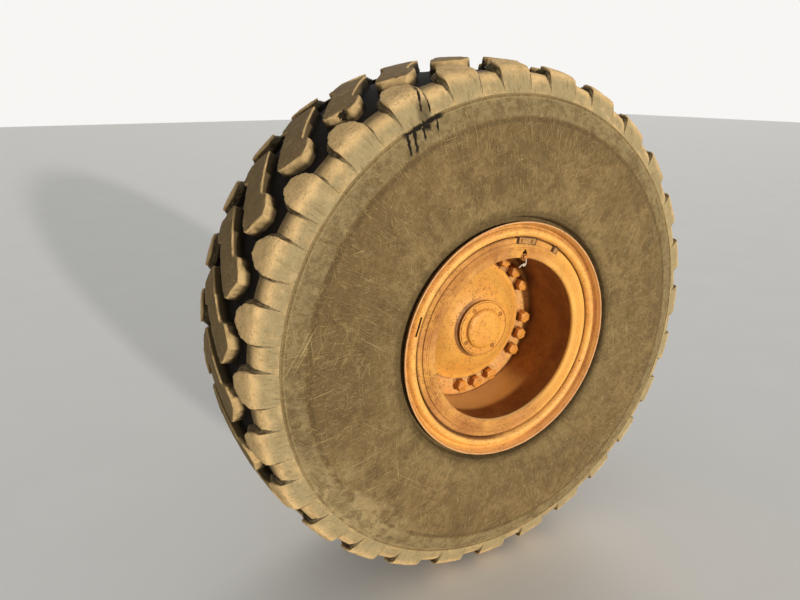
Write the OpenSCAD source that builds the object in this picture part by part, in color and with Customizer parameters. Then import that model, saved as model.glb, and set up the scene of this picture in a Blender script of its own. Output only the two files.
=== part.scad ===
// Wheel of an articulated dump truck: an earthmover tyre on a five-piece rim,
// bolted to a planetary hub that turns on the end of the truck's axle.
// Y is the wheel's axis. The origin is the middle of the face that bolts to the
// axle, and "out" is the distance from that face towards the wheel's outer side.

/* [Tyre] */
// Radius of the tyre at the middle of its tread
tyre_r = 875; // [865:1:890]
// Greatest width of the tyre
tyre_w = 675; // [660:1:690]
// Distance from the axle face to the middle of the tyre
tyre_out = 420; // [410:1:430]
// Drop from the middle of the tread to the edge line where the lugs end on the sidewall
shoulder_drop = 112; // [105:1:120]
// Width of the tyre across its two edge lines
shoulder_w = 596; // [590:1:604]
// Radius at which the tyre is widest
bulge_r = 560; // [545:1:580]
// Thickness of the sidewall
sidewall_t = 30; // [24:1:34]
// Thickness of the casing under the tread grooves
casing_t = 38; // [32:1:42]
// Width of the tyre's foot on the rim
bead_w = 98; // [90:1:104]

/* [Tread] */
// Width of the tread across the lug tips
tread_w = 546; // [536:1:552]
// Drop of the tread from its middle to its edge
crown_drop = 29; // [22:1:34]
// Width over which the tread rolls over into the tyre's side
roll_w = 40; // [24:1:50]
// Depth of the grooves
tread_depth = 38; // [30:1:42]
// Number of lugs round each edge
lug_count = 28; // [26:1:29]
// Width of an edge lug along the tread
lug_w = 118; // [108:1:122]
// Length of an edge lug across the tread
lug_l = 96; // [86:1:100]
// Width of a middle block along the tread
block_w = 134; // [120:1:138]
// Length of a middle block across the tread
block_l = 310; // [290:1:316]
// How far the filling between two lugs stays below their tops
fill_drop = 24; // [16:1:28]
// Length of the filling across the tread
fill_l = 68; // [60:1:74]

/* [Rim] */
// Radius of the seat that the tyre's foot sits on
seat_r = 317.5; // [317.5:0.5:319]
// Rim width between the two flanges
rim_w = 558.8; // [550:0.4:566]
// Height of a flange above the seat
flange_h = 76.2; // [70:0.2:80]
// Overhang of a flange's lip from its tyre side
flange_w = 45.6; // [42:0.2:48]
// Thickness of a flange at its foot
flange_t = 9.8; // [9:0.2:11]
// Thickness of the seat band at the tyre's heel
band_t = 13.5; // [12.5:0.5:14.5]
// Wall of the rim base
base_t = 14; // [12:0.5:15]
// How far the outer mouth draws in from the outside of the rim base
mouth_step = 29; // [24:0.5:32]
// Height of the lock ring above the tyre's seat
ring_h = 20.5; // [18:0.5:21.5]
// Thickness of the lock ring
ring_t = 8; // [7:0.5:9]
// Height that the lock ring stands above the rim base's mouth lip
ring_show = 18; // [15:0.5:20]

/* [Wheel disc and bolts] */
// Distance from the lip plane of the rim to the face of the wheel disc
disc_deep = 258; // [250:1:262]
// Thickness of the wheel disc
disc_t = 22; // [20:1:24]
// Chamfer of the disc's face beside the rim base
disc_edge = 5; // [3:0.5:8]
// Length of the disc's skirt behind its face
skirt_l = 62; // [50:1:70]
// Distance from the edge of the disc's face to the wheel bolt circle
bolt_edge = 39.7; // [37:0.1:42]
// Bolt places round the circle
bolt_places = 24; // [24:1:24]
// Radius of a wheel bolt
bolt_r = 12; // [10:0.5:12.5]
// Width across the flats of a bolt head
bolt_head_w = 38; // [34:1:41]
// Height of a bolt head
bolt_head_h = 30; // [20:1:34]
// Thickness of a bolt washer
washer_t = 4; // [3:0.5:5]

/* [Hub] */
// Distance from the wheel bolt circle to the planetary cover's edge
cover_gap = 27; // [25:1:36]
// Height of the cover's edge above the disc face
cover_edge_h = 14; // [10:1:20]
// Height of the cover's nose above the disc face
cover_h = 94; // [84:1:104]
// Radius of the small cap on the nose
cap_r = 98; // [92:1:102]
// Thickness of the cap's rim
cap_t = 13; // [9:0.5:16]
// Radius of the cap's raised middle
dome_r = 70; // [60:1:71]
// Height of the cap's raised middle
dome_h = 15; // [10:1:18]
// Radius of the cap screw circle
screw_circle_r = 80; // [76:1:84]
// Distance from the wheel bolt circle to the hub drum
drum_gap = 40; // [34:1:48]
// Thickness of the hub flange behind the wheel disc
hub_flange_t = 26; // [22:1:28]

/* [Brake] */
// Room between the brake disc's edge and the inside of the rim base
brake_room = 32; // [30:1:40]
// Thickness of the brake disc
brake_t = 16; // [14:1:18]
// Distance from the axle face to the near face of the brake disc
brake_out = 216; // [212:1:220]
// Room between the brake disc and the caliper on each side
brake_gap = 5.5; // [5.2:0.1:7]
// Height of a caliper round the disc
caliper_h = 190; // [170:1:210]
// Width of a caliper across the disc
caliper_w = 104; // [96:1:110]
// Thickness of the bracket that carries the calipers
bracket_t = 22; // [18:1:25]

/* [Axle end] */
// Radius of the face that bolts to the axle
flange_r = 215; // [210:1:225]
// Thickness of the axle flange
axle_flange_t = 30; // [26:1:34]
// Number of bolt holes in the axle flange
axle_holes = 16; // [12:2:18]
// Radius of the bolt circle in the axle flange
axle_circle_r = 190; // [186:1:194]
// Radius of a bolt hole in the axle flange
axle_hole_r = 11; // [9:0.5:12]
// Radius of the pilot bore in the axle flange
pilot_r = 90; // [84:1:94]
// Depth of the pilot bore
pilot_l = 50; // [40:1:55]
// Radius of the bore for the drive shaft
shaft_bore_r = 55; // [50:1:60]
// Outer radius of the axle arm
arm_r = 120; // [114:1:124]
// Radius of the spindle that the hub turns on
spindle_r = 95; // [90:1:100]

/* [Hidden] */
$fn = 112;

// Clearance of a piece from its seat
fit = 0.3;
// Radial clearance between the hub and its spindle
running_fit = 0.05;
// Depth that a cut runs past a face
over = 1;

paint = "goldenrod";
rust = "sienna";
rubber = "dimgray";
steel = "silver";

// Places along the axle, from the face that bolts to it
lip_out = tyre_out + rim_w / 2 + flange_w;
heel_out = tyre_out + rim_w / 2;
disc_out = lip_out - disc_deep;
hub_face_out = disc_out - disc_t;
hub_back_out = brake_out + brake_t;
foot_out = heel_out + flange_t;
band_end_out = foot_out + 4.8;
groove_end_out = band_end_out + ring_t;
mouth_out = groove_end_out + ring_t;
lip_r = seat_r + flange_h;
seat_taper = tan(5);

// Radii that follow from the rim's seat, working inwards
base_r = seat_r - band_t;
bore_r = base_r - base_t;
mouth_r = base_r - mouth_step;
ring_r = seat_r + ring_h;
weld_r = bore_r - fit;
disc_r = weld_r - disc_edge;
bolt_circle_r = disc_r - bolt_edge;
cover_r = bolt_circle_r - cover_gap;
drum_r = bolt_circle_r - drum_gap;
brake_r = bore_r - brake_room;
shoulder_r = tyre_r - shoulder_drop;

function crown_r(s) = tyre_r - crown_drop * pow(s / (tread_w / 2), 2);
function groove_r(s) = crown_r(s) - tread_depth;
function side_w(r) = r > bulge_r
    ? tyre_w / 2 - (tyre_w - shoulder_w) / 2 * pow((r - bulge_r) / (shoulder_r - bulge_r), 2.5)
    : tyre_w / 2 - side_tuck * pow((bulge_r - r) / (bulge_r - lip_r), 2);
// How far the sidewall draws in beside the rim flange
side_tuck = 14;

pitch = 360 / lug_count;
edge_s = tread_w / 2;

// Solid turned round the wheel's axis; columns are radius and out
module turned(section) {
    rotate([90, 0, 0]) rotate_extrude() polygon(section);
}

// Places children at an angle round the wheel, at a radius and an out
module at(angle, r, out) {
    rotate([0, -angle, 0]) translate([r, -out, 0]) children();
}

// Cylinder along the wheel's axis, from one out to another
module rod(r, from, to, sides = 32) {
    translate([0, -from, 0]) rotate([90, 0, 0]) cylinder(r = r, h = to - from, $fn = sides);
}

// Tyre casing: half of its outline, columns are radius and distance from the middle
flange_line = [[0, 0], [0.45, 0], [0.63, 0.09], [0.79, 0.28], [0.91, 0.56]];
side_steps = 8;
floor_steps = 3;
bead_outside = [for (p = flange_line)
    [seat_r + p.x * flange_h + fit, rim_w / 2 + p.y * flange_w - fit]];
rib_outside = [[lip_r + 2, rim_w / 2 + 0.46 * flange_w], [lip_r + 10, rim_w / 2 + 0.47 * flange_w],
    [lip_r + 16, rim_w / 2 + 0.93 * flange_w], [lip_r + 21, side_w(lip_r + 21) + 1],
    [lip_r + 27, side_w(lip_r + 27)]];
side_outside = [for (i = [1 : side_steps])
    let (r = lip_r + 27 + (shoulder_r - lip_r - 27) * i / side_steps) [r, side_w(r)]];
side_slope = (shoulder_w / 2 - edge_s) / (crown_r(edge_s) - shoulder_r);
fill_s = edge_s - fill_l;
fill_outside = [[crown_r(edge_s) - 2 * fill_drop, edge_s + side_slope * 2 * fill_drop - 1],
    [crown_r(edge_s) - fill_drop, edge_s - 3], [crown_r(fill_s) - fill_drop, fill_s + 6]];
tread_outside = [for (i = [floor_steps : -1 : 0]) let (s = fill_s * i / floor_steps) [groove_r(s), s]];
tread_inside = [for (i = [0 : floor_steps])
    let (s = edge_s * 0.75 * i / floor_steps) [groove_r(s) - casing_t, s]];
inside_steps = 4;
inside_top = shoulder_r - 20;
inside_low = lip_r + 3.5 * sidewall_t;
side_inside = [for (i = [0 : inside_steps])
    let (r = inside_top + (inside_low - inside_top) * i / inside_steps) [r, side_w(r) - sidewall_t]];
bead_inside = [[lip_r + 6, side_w(lip_r) - 2 * sidewall_t],
    [seat_r + 26, rim_w / 2 - 0.85 * bead_w],
    [seat_r + fit - (bead_w - 3) * seat_taper + 6, rim_w / 2 - bead_w - 4],
    [seat_r + fit - bead_w * seat_taper, rim_w / 2 - bead_w]];
half_outside = concat(bead_outside, rib_outside, side_outside, fill_outside, tread_outside);
half_inside = concat(tread_inside, side_inside, bead_inside);

module casing() {
    outside = [for (p = half_outside) [p.x, tyre_out + p.y]];
    far_outside = [for (i = [len(half_outside) - 2 : -1 : 0])
        [half_outside[i].x, tyre_out - half_outside[i].y]];
    inside = [for (i = [len(half_inside) - 1 : -1 : 1])
        [half_inside[i].x, tyre_out - half_inside[i].y]];
    near_inside = [for (p = half_inside) [p.x, tyre_out + p.y]];
    turned(concat(outside, far_outside, inside, near_inside));
}

// Outer form of the tread, which trims the tops and sides of the lugs
foot_r = shoulder_r - 13;
foot_s = edge_s + side_slope * (crown_r(edge_s) - foot_r);
crown_steps = 3;
// The tread's edge rolls over into the side: columns are drop below the edge and
// distance inside the side's line
EDGE_ROLL = [[0, 12], [7, 3.5], [17, 0.6], [32, 0]];
module tread_form() {
    flat_s = edge_s - roll_w;
    crown = [for (i = [-crown_steps : crown_steps])
        let (s = flat_s * i / crown_steps) [crown_r(s), s]];
    roll = [for (p = EDGE_ROLL) [crown_r(edge_s) - p.x, edge_s + side_slope * p.x - p.y]];
    sunk_r = foot_r - 2 * lug_sink;
    near = concat(roll, [[foot_r, foot_s], [sunk_r, foot_s]]);
    far = [for (i = [len(near) - 1 : -1 : 0]) [near[i].x, -near[i].y]];
    turned([for (p = concat(far, crown, near)) [p.x, tyre_out + p.y]]);
}

// Upright block on the tyre with a plan of [distance from the middle, along] points
module upright(angle, plan, from_r) {
    at(angle, 0, 0) rotate([90, 0, 90]) translate([0, 0, from_r])
        linear_extrude(tyre_r + over - from_r) polygon([for (p = plan) [-tyre_out - p.x, p.y]]);
}

// Edge lug: half of its plan, columns are shares of half its width and of its length
LUG_PLAN = [[0.97, 0.25], [0.9, 0.46], [0.71, 0.7], [0.5, 0.87], [0.24, 1]];
lug_sink = 9;
module edge_lug(angle, side) {
    half = lug_w / 2;
    mirrored = [for (i = [len(LUG_PLAN) - 1 : -1 : 0]) [-LUG_PLAN[i].x, LUG_PLAN[i].y]];
    plan = concat([[1, 0]], LUG_PLAN, mirrored, [[-1, 0]]);
    root_s = edge_s - 14;
    upright(angle, [for (p = plan) [side * (edge_s + 2 - p.y * (lug_l + 2)), p.x * half]],
        groove_r(edge_s) - lug_sink);
    upright(angle, [for (p = [[0, 1], [1, 1], [1, -1], [0, -1]])
        [side * (root_s + p.x * (foot_s - root_s + over)), p.y * half]], foot_r);
}

// Middle block: half of its plan, columns are shares of its width and of half its length
BLOCK_PLAN = [[-0.03, 0.71], [0.21, 0.89], [0.45, 1], [0.96, 0.65], [0.98, 0.52], [-0.03, -0.46]];
module middle_block(angle) {
    half = [for (p = BLOCK_PLAN) [p.y * block_l / 2, p.x * block_w]];
    upright(angle, concat(half, [for (p = half) -p]), groove_r(block_l / 2) - lug_sink);
}

module tyre() {
    color(rubber) union() {
        casing();
        intersection() {
            tread_form();
            for (i = [0 : lug_count - 1]) {
                edge_lug(i * pitch, 1);
                edge_lug((i + 0.5) * pitch, -1);
                middle_block((i + 0.25) * pitch);
            }
        }
    }
}

// Flange section: columns are shares of the flange's height and of its overhang
FLANGE = concat(flange_line, [[0.975, 0.82], [1, 0.955], [0.965, 1], [0.93, 0.975], [0.9, 0.8],
    [0.855, 0.6], [0.8, 0.46], [0.745, 0.45], [0.69, 0.57], [0.62, 0.74], [0.52, 0.79],
    [0.41, 0.73], [0.33, 0.5], [0.31, 0.3]]);

module flange(side) {
    foot = flange_t / flange_w;
    section = concat(FLANGE, [[0.31, foot], [0, foot]]);
    turned([for (p = section) [seat_r + p.x * flange_h + (p.x == 0 ? fit : 0),
        tyre_out + side * (rim_w / 2 + p.y * flange_w)]]);
}

module outer_flange() { color(paint) flange(1); }
module inner_flange() { color(paint) flange(-1); }

// Band that the tyre's outer foot sits on
band_w = 110;
module seat_band() {
    bore = base_r + fit;
    color(paint) turned([
        [bore, heel_out - band_w], [seat_r - band_w * seat_taper, heel_out - band_w],
        [seat_r, heel_out], [seat_r, foot_out], [ring_r - 3, foot_out],
        [ring_r - 1, foot_out + 2], [ring_r - 1, band_end_out], [bore, band_end_out]]);
}

// Ring that locks the band and the outer flange in place
groove_deep = 4;
module lock_ring() {
    color(paint) difference() {
        turned([[base_r - groove_deep + fit, band_end_out], [ring_r - 2, band_end_out],
            [ring_r, band_end_out + 2], [ring_r, groove_end_out - 3],
            [ring_r - 3, groove_end_out - fit], [base_r - groove_deep + fit, groove_end_out - fit]]);
        at(ring_split, (base_r + ring_r) / 2, band_end_out + ring_t / 2)
            cube([ring_r - base_r + 20, ring_t + 2 * over, ring_split_w], center = true);
    }
}
ring_split = 81;
ring_split_w = 5;

// Rim base, open at both ends
mouth_l = 58;
module rim_base() {
    far_heel = tyre_out - rim_w / 2;
    color(rust) difference() {
        turned([
            [mouth_r, mouth_out - 3], [mouth_r, mouth_out - 14], [bore_r, mouth_out - mouth_l],
            [bore_r, far_heel - 34], [bore_r + 6, far_heel - 40], [ring_r - 2, far_heel - 30],
            [ring_r + 2, far_heel - 25], [ring_r + 2, far_heel - flange_t],
            [seat_r, far_heel - flange_t], [seat_r, far_heel],
            [seat_r - band_w * seat_taper, far_heel + band_w], [base_r, far_heel + band_w + 16],
            [base_r, band_end_out - fit], [base_r - groove_deep, band_end_out],
            [base_r - groove_deep, groove_end_out], [lip_edge_r, groove_end_out],
            [lip_edge_r, mouth_out - 5], [lip_edge_r - 3, mouth_out - 2],
            [mouth_r + 20, mouth_out], [mouth_r + 8, mouth_out]]);
        at(valve_angle, mouth_r - over, mouth_out + over) translate([0, 0, -slot_w / 2])
            cube([base_r - mouth_r + 2 + over, mouth_l + 2, slot_w]);
    }
}

// The rim base's lip leaves the face of the lock ring open
lip_edge_r = ring_r - ring_show;

// Keys on the lock ring, above the rim base's lip; columns are angle and width round the ring
KEYS = [[80, 66], [58, 16]];
key_h = 18;
key_t = 6;
key_foot_out = groove_end_out - fit;
module ring_keys() {
    color(paint) union() {
        for (k = KEYS) at(k[0], lip_edge_r + fit, key_foot_out + key_t) translate([0, 0, -k[1] / 2])
            cube([key_h, key_t, k[1]]);
        for (side = [-1, 1]) at(KEYS[0][0] + side * stud_spread, lip_edge_r + key_h / 2 + 1, 0)
            rod(stud_r, key_foot_out + key_t - over, key_foot_out + key_t + stud_h, 24);
    }
}
stud_r = 6;
stud_h = 6;
stud_spread = 3.6;

// Tyre valve: it leaves the bore of the rim base and lies in the slot through the mouth
valve_angle = 80.7;
slot_w = 15;
valve_r = 5;
valve_foot_r = 11;
valve_foot_out = mouth_out - mouth_l - valve_foot_r - 8;
valve_show = 6;
valve_cap_l = 20;
module valve() {
    stem_r = mouth_r + 4;
    color(steel) at(valve_angle, 0, 0) union() {
        translate([weld_r - valve_foot_r, -valve_foot_out, 0]) rotate([0, 90, 0])
            cylinder(r = valve_foot_r, h = valve_foot_r, $fn = 32);
        translate([stem_r, 0, 0]) rod(valve_r, valve_foot_out, mouth_out + valve_show - 1, 24);
        translate([stem_r, 0, 0])
            rod(valve_r + 1.5, mouth_out + valve_show - valve_cap_l, mouth_out + valve_show, 24);
    }
}

// Wheel bolts stand in groups of three with one place left bare
bolt_angles = [for (i = [0 : bolt_places - 1]) if (i % 4 != 0) 9 + i * 360 / bolt_places];

module wheel_disc() {
    color(rust) difference() {
        turned([[cover_r + fit, hub_face_out], [disc_r - 14, hub_face_out],
            [weld_r - disc_t * 0.8, disc_out - skirt_l], [weld_r, disc_out - skirt_l],
            [weld_r, disc_out - disc_edge], [disc_r, disc_out], [cover_r + fit, disc_out]]);
        for (a = bolt_angles) at(a, bolt_circle_r, 0) rod(bolt_r + fit, hub_face_out - over, disc_out + over);
    }
}

washer_r = bolt_head_w * 0.6;
module wheel_bolts() {
    head_out = disc_out + washer_t;
    color(paint) for (a = bolt_angles) at(a, bolt_circle_r, 0) {
        rod(washer_r, disc_out, head_out);
        rod(bolt_head_w / 2 / cos(30), head_out, head_out + bolt_head_h, 6);
        rod(bolt_r, hub_face_out - hub_flange_t - 6, disc_out);
    }
}

hub_bore_end = hub_face_out - hub_flange_t - 8;
disc_bore_r = arm_r + 16;
hub_boss_r = arm_r + 52;
hub_flange_r = disc_r - 16;
// The cover stands on the hub's spigot, this far above the disc face
cover_lift = 4;
module hub() {
    bore = spindle_r + running_fit;
    color(rust) difference() {
        turned([[bore, hub_back_out + 6], [disc_bore_r, hub_back_out + 6], [disc_bore_r, hub_back_out],
            [hub_boss_r, hub_back_out], [hub_boss_r, caliper_end_out + 6], [drum_r - 8, caliper_end_out + 12],
            [drum_r, caliper_end_out + 22], [drum_r, hub_face_out - hub_flange_t - 14],
            [drum_r + 12, hub_face_out - hub_flange_t], [hub_flange_r, hub_face_out - hub_flange_t],
            [hub_flange_r, hub_face_out], [cover_r, hub_face_out], [cover_r, disc_out + cover_lift],
            [bore, disc_out + cover_lift]]);
        for (a = bolt_angles) at(a, bolt_circle_r, 0)
            rod(bolt_r + fit, hub_face_out - hub_flange_t - over, hub_face_out + over);
    }
}

module planetary_cover() {
    foot = disc_out + cover_lift;
    rise = cover_h - cover_edge_h;
    run = cover_r - cap_r;
    color(paint) turned([[0, foot], [cover_r, foot], [cover_r, disc_out + cover_edge_h - 4],
        [cover_r - 4, disc_out + cover_edge_h], [cover_r - 14, disc_out + cover_edge_h + 3],
        [cover_r - 0.3 * run, disc_out + cover_edge_h + 0.3 * rise],
        [cover_r - 0.6 * run, disc_out + cover_edge_h + 0.66 * rise],
        [cover_r - 0.85 * run, disc_out + cover_edge_h + 0.92 * rise],
        [cap_r + 5, disc_out + cover_h], [0, disc_out + cover_h]]);
}

module cover_cap() {
    foot = disc_out + cover_h;
    color(paint) difference() {
        turned([[0, foot], [cap_r, foot], [cap_r, foot + cap_t - 3], [cap_r - 3, foot + cap_t],
            [dome_r + 1, foot + cap_t], [dome_r - 3, foot + cap_t + 0.4 * dome_h],
            [dome_r - 10, foot + cap_t + 0.75 * dome_h], [dome_r - 24, foot + cap_t + 0.93 * dome_h],
            [0, foot + cap_t + dome_h]]);
        for (a = cap_screw_angles) at(a, screw_circle_r, 0)
            rod(screw_head_r + fit, foot + cap_t - screw_sink, foot + cap_t + over);
    }
}
cap_screw_angles = [30, 120, 210, 300];
screw_head_r = 6.5;
screw_sink = 5;

module cap_screws() {
    head = disc_out + cover_h + cap_t;
    color(steel) for (a = cap_screw_angles) at(a, screw_circle_r, 0) difference() {
        rod(screw_head_r, head - screw_sink, head - 1);
        rod(screw_head_r / 2, head - 4, head, 6);
    }
}

module brake_disc() {
    color(steel) turned([[disc_bore_r, brake_out], [brake_r - 2, brake_out], [brake_r, brake_out + 2],
        [brake_r, hub_back_out - 2], [brake_r - 2, hub_back_out], [disc_bore_r, hub_back_out]]);
}

ring_bolts = 12;
small_bolt_r = 8;
small_bolt_h = 9;
module bolt_ring(r, out) {
    color(steel) for (i = [0 : ring_bolts - 1]) at((i + 0.5) * 360 / ring_bolts, r, 0)
        rod(small_bolt_r, out - small_bolt_h, out, 6);
}

module brake_disc_bolts() { bolt_ring((disc_bore_r + hub_boss_r) / 2, brake_out); }

axle_neck_out = 62;
bracket_out = 150;
module axle_arm() {
    tip = bracket_out;
    color(rust) difference() {
        turned([[shaft_bore_r, pilot_l], [pilot_r, pilot_l], [pilot_r, 0], [flange_r - 2, 0],
            [flange_r, 2], [flange_r, axle_flange_t - 2], [flange_r - 2, axle_flange_t],
            [arm_r + 34, axle_flange_t], [arm_r + 14, axle_neck_out - 10], [arm_r + 4, axle_neck_out + 14],
            [arm_r, axle_neck_out + 40], [arm_r, tip], [shaft_bore_r, tip]]);
        for (i = [0 : axle_holes - 1]) at(i * 360 / axle_holes, axle_circle_r, 0)
            rod(axle_hole_r, -over, axle_flange_t + over);
    }
}

spindle_flange_t = 20;
spindle_foot_out = bracket_out + bracket_t;
spindle_face_out = spindle_foot_out + spindle_flange_t;
spindle_flange_r = arm_r + 20;
module spindle() {
    color(steel) turned([[shaft_bore_r, spindle_foot_out], [spindle_flange_r, spindle_foot_out],
        [spindle_flange_r, spindle_face_out], [spindle_r + 12, spindle_face_out],
        [seal_seat_r, spindle_face_out + 8], [seal_seat_r, hub_back_out - 2],
        [spindle_r, hub_back_out], [spindle_r, hub_bore_end], [shaft_bore_r, hub_bore_end]]);
}
seal_seat_r = spindle_r + 6;

module arm_bolts() { bolt_ring(spindle_flange_r - 14, spindle_face_out + small_bolt_h); }

// A caliper fits between the hub boss and the rim base
caliper_r = bore_r - 8;
caliper_in_r = hub_boss_r + 6;
caliper_mid_out = brake_out + brake_t / 2;
caliper_end_out = caliper_mid_out + caliper_w / 2;
ear_r = brake_r - 36;
ear_corner = 12;
ear_hole_r = 22;
// Distances from the end of the bracket's ear to its hole and to the caliper bolts
ear_hole_in = 44;
ear_bolt_in = 14;
module brake_bracket() {
    half = caliper_h / 2;
    corner_r = ear_r - ear_corner;
    root_r = min(caliper_in_r, ear_r - ear_hole_in) - 20;
    color(rust) difference() {
        union() {
            rod(arm_r + 24, bracket_out, bracket_out + bracket_t, 96);
            for (a = [0, 180]) at(a, 0, bracket_out) rotate([90, 0, 0]) linear_extrude(bracket_t)
                polygon([[0, -arm_r - 10], [root_r, -half], [corner_r, -half], [ear_r, ear_corner - half],
                    [ear_r, half - ear_corner], [corner_r, half], [root_r, half], [0, arm_r + 10]]);
        }
        rod(shaft_bore_r, bracket_out - over, bracket_out + bracket_t + over, 96);
        for (a = [0, 180]) at(a, ear_r - ear_hole_in, 0)
            rod(ear_hole_r, bracket_out - over, bracket_out + bracket_t + over);
    }
}

// Caliper: a saddle over the disc's edge, with two round cylinder housings on its back
piston_r = 24;
piston_h = 14;
caliper_taper = 14;
module caliper_body(angle) {
    near_slot = brake_out - brake_gap;
    far_slot = brake_out + brake_t + brake_gap;
    slot_r = brake_r + brake_gap;
    at(angle, 0, 0) union() {
        intersection() {
            turned([[caliper_in_r, spindle_foot_out], [caliper_r - 8, spindle_foot_out],
                [caliper_r, spindle_foot_out + 8], [caliper_r, caliper_end_out - caliper_taper],
                [caliper_r - caliper_taper, caliper_end_out], [caliper_in_r + 8, caliper_end_out],
                [caliper_in_r, caliper_end_out - 8], [caliper_in_r, far_slot], [slot_r, far_slot],
                [slot_r, near_slot], [caliper_in_r, near_slot]]);
            translate([0, -caliper_end_out - over, -caliper_h / 2])
                cube([caliper_r + over, caliper_w + 2 * over, caliper_h]);
        }
        for (z = [-0.27, 0.27]) translate([ear_r + piston_r + 2, 0, z * caliper_h])
            rod(piston_r, spindle_foot_out - piston_h, spindle_foot_out + over);
    }
}

module calipers() { color(paint) { caliper_body(0); caliper_body(180); } }

caliper_bolt_r = 11;
caliper_bolt_h = 12;
module caliper_bolts() {
    color(steel) for (a = [0, 180], z = [-0.34, 0.34])
        at(a, 0, 0) translate([ear_r - ear_bolt_in, 0, z * caliper_h])
            rod(caliper_bolt_r, bracket_out - caliper_bolt_h, bracket_out, 6);
}

// Brake pipe over the axle from one caliper to the other, in a nut at each end
pipe_r = 5;
nut_r = 9;
nut_h = 18;
module brake_pipe() {
    top = caliper_h / 2;
    bend_r = norm([caliper_in_r + 2 * nut_r, top + nut_h / 2]);
    a = asin((top + nut_h / 2) / bend_r);
    color(steel) translate([0, -spindle_foot_out - 2 * nut_r, 0]) union() {
        rotate([90, 0, 0]) rotate([0, 0, a]) rotate_extrude(angle = 180 - 2 * a)
            translate([bend_r, 0]) circle(r = pipe_r, $fn = 16);
        for (x = [-1, 1]) translate([x * (caliper_in_r + 2 * nut_r), 0, top])
            cylinder(r = nut_r, h = nut_h, $fn = 24);
    }
}

seal_l = 26;
seal_wall = 34;
module hub_seal() {
    foot = hub_back_out - seal_l;
    color(steel) turned([[seal_seat_r + fit, foot], [spindle_r + 0.7 * seal_wall, foot],
        [spindle_r + seal_wall, foot + 0.7 * seal_l], [spindle_r + seal_wall, hub_back_out - 2],
        [seal_seat_r + fit, hub_back_out - 2]]);
}

tyre();
rim_base();
outer_flange();
inner_flange();
seat_band();
lock_ring();
ring_keys();
valve();
wheel_disc();
wheel_bolts();
hub();
planetary_cover();
cover_cap();
cap_screws();
brake_disc();
brake_disc_bolts();
axle_arm();
spindle();
arm_bolts();
brake_bracket();
calipers();
caliper_bolts();
brake_pipe();
hub_seal();
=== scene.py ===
"""Looks of a dump truck wheel on the end of its axle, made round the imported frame.

Y is the wheel's axis and -Y its outer side. "out" is the distance from the axle face
towards the outer side, and an angle goes round from +X as it is seen from outside.
"""
import math

import bpy
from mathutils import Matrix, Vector


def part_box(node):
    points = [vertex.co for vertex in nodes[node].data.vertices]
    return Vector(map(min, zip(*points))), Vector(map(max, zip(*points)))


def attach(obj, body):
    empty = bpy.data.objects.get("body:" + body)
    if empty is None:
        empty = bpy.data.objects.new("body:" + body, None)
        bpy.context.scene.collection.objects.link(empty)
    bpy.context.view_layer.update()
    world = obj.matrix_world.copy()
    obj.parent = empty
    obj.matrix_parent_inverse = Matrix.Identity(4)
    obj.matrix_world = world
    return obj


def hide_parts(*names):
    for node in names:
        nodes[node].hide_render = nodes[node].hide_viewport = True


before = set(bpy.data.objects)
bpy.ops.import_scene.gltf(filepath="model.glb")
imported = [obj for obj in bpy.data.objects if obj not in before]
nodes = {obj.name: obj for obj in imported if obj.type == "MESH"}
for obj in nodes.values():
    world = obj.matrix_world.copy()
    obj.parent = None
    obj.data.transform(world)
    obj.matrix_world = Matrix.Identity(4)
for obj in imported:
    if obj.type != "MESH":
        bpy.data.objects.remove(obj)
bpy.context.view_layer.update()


# Sizes, in metres

tyre_low, tyre_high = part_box("tyre")
TYRE_R = tyre_high.z
TYRE_MID = -(tyre_low.y + tyre_high.y) / 2
TYRE_HALF = (tyre_high.y - tyre_low.y) / 2
LIP_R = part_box("outer_flange")[1].z
RING_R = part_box("lock_ring")[1].z
RING_BACK = -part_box("lock_ring")[1].y
MOUTH_OUT = -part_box("rim_base")[0].y
RIM_BACK = -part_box("rim_base")[1].y
DISC_OUT = -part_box("wheel_disc")[0].y
SKIRT_OUT = -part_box("wheel_disc")[1].y
WELD_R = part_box("wheel_disc")[1].z
COVER_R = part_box("planetary_cover")[1].z
COVER_FOOT = -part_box("planetary_cover")[1].y
COVER_TOP = -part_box("planetary_cover")[0].y
CAP_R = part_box("cover_cap")[1].z
CAP_TOP = -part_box("cover_cap")[0].y
DOME_H = 0.015

SEAT_R = 0.3175
RIM_HALF = 0.2794
BASE_R = 0.304
MOUTH_R = 0.275
DISC_R = WELD_R - 0.005
BOLT_CIRCLE = 0.245
CROWN_DROP = 0.029
EDGE = 0.273
SHOULDER_R = 0.763
SHOULDER_HALF = 0.298
BULGE_R = 0.560
GROOVE = 0.038
FILL_DROP = 0.024
FILL_END = 0.205
LUGS = 28
STEPS = 224
MERGE = 0.00002
PITCH = math.tau * TYRE_R / LUGS


# Node helpers

def srgb(red, green, blue):
    """Colour from its 0 to 255 screen values."""
    def linear(part):
        part = part / 255
        return part / 12.92 if part <= 0.04045 else ((part + 0.055) / 1.055) ** 2.4
    return (linear(red), linear(green), linear(blue), 1)


def add(tree, kind, **settings):
    node = tree.nodes.new(kind)
    for name, value in settings.items():
        setattr(node, name, value)
    return node


def feed(socket, source):
    """Links a socket to a node's output, or gives it a value."""
    if isinstance(source, bpy.types.NodeSocket):
        socket.id_data.links.new(source, socket)
    else:
        socket.default_value = source


def add_fed(kind, *sources, **settings):
    """New node beside its sources, which feed its inputs in turn."""
    tree = next(source.id_data for source in sources if isinstance(source, bpy.types.NodeSocket))
    node = add(tree, kind, **settings)
    for socket, source in zip(node.inputs, sources):
        feed(socket, source)
    return node


def calc(operation, first, second=0.0):
    return add_fed("ShaderNodeMath", first, second, operation=operation).outputs[0]


def times(*factors):
    result = factors[0]
    for factor in factors[1:]:
        result = calc("MULTIPLY", result, factor)
    return result


def plus(*terms):
    result = terms[0]
    for term in terms[1:]:
        result = calc("ADD", result, term)
    return result


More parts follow.
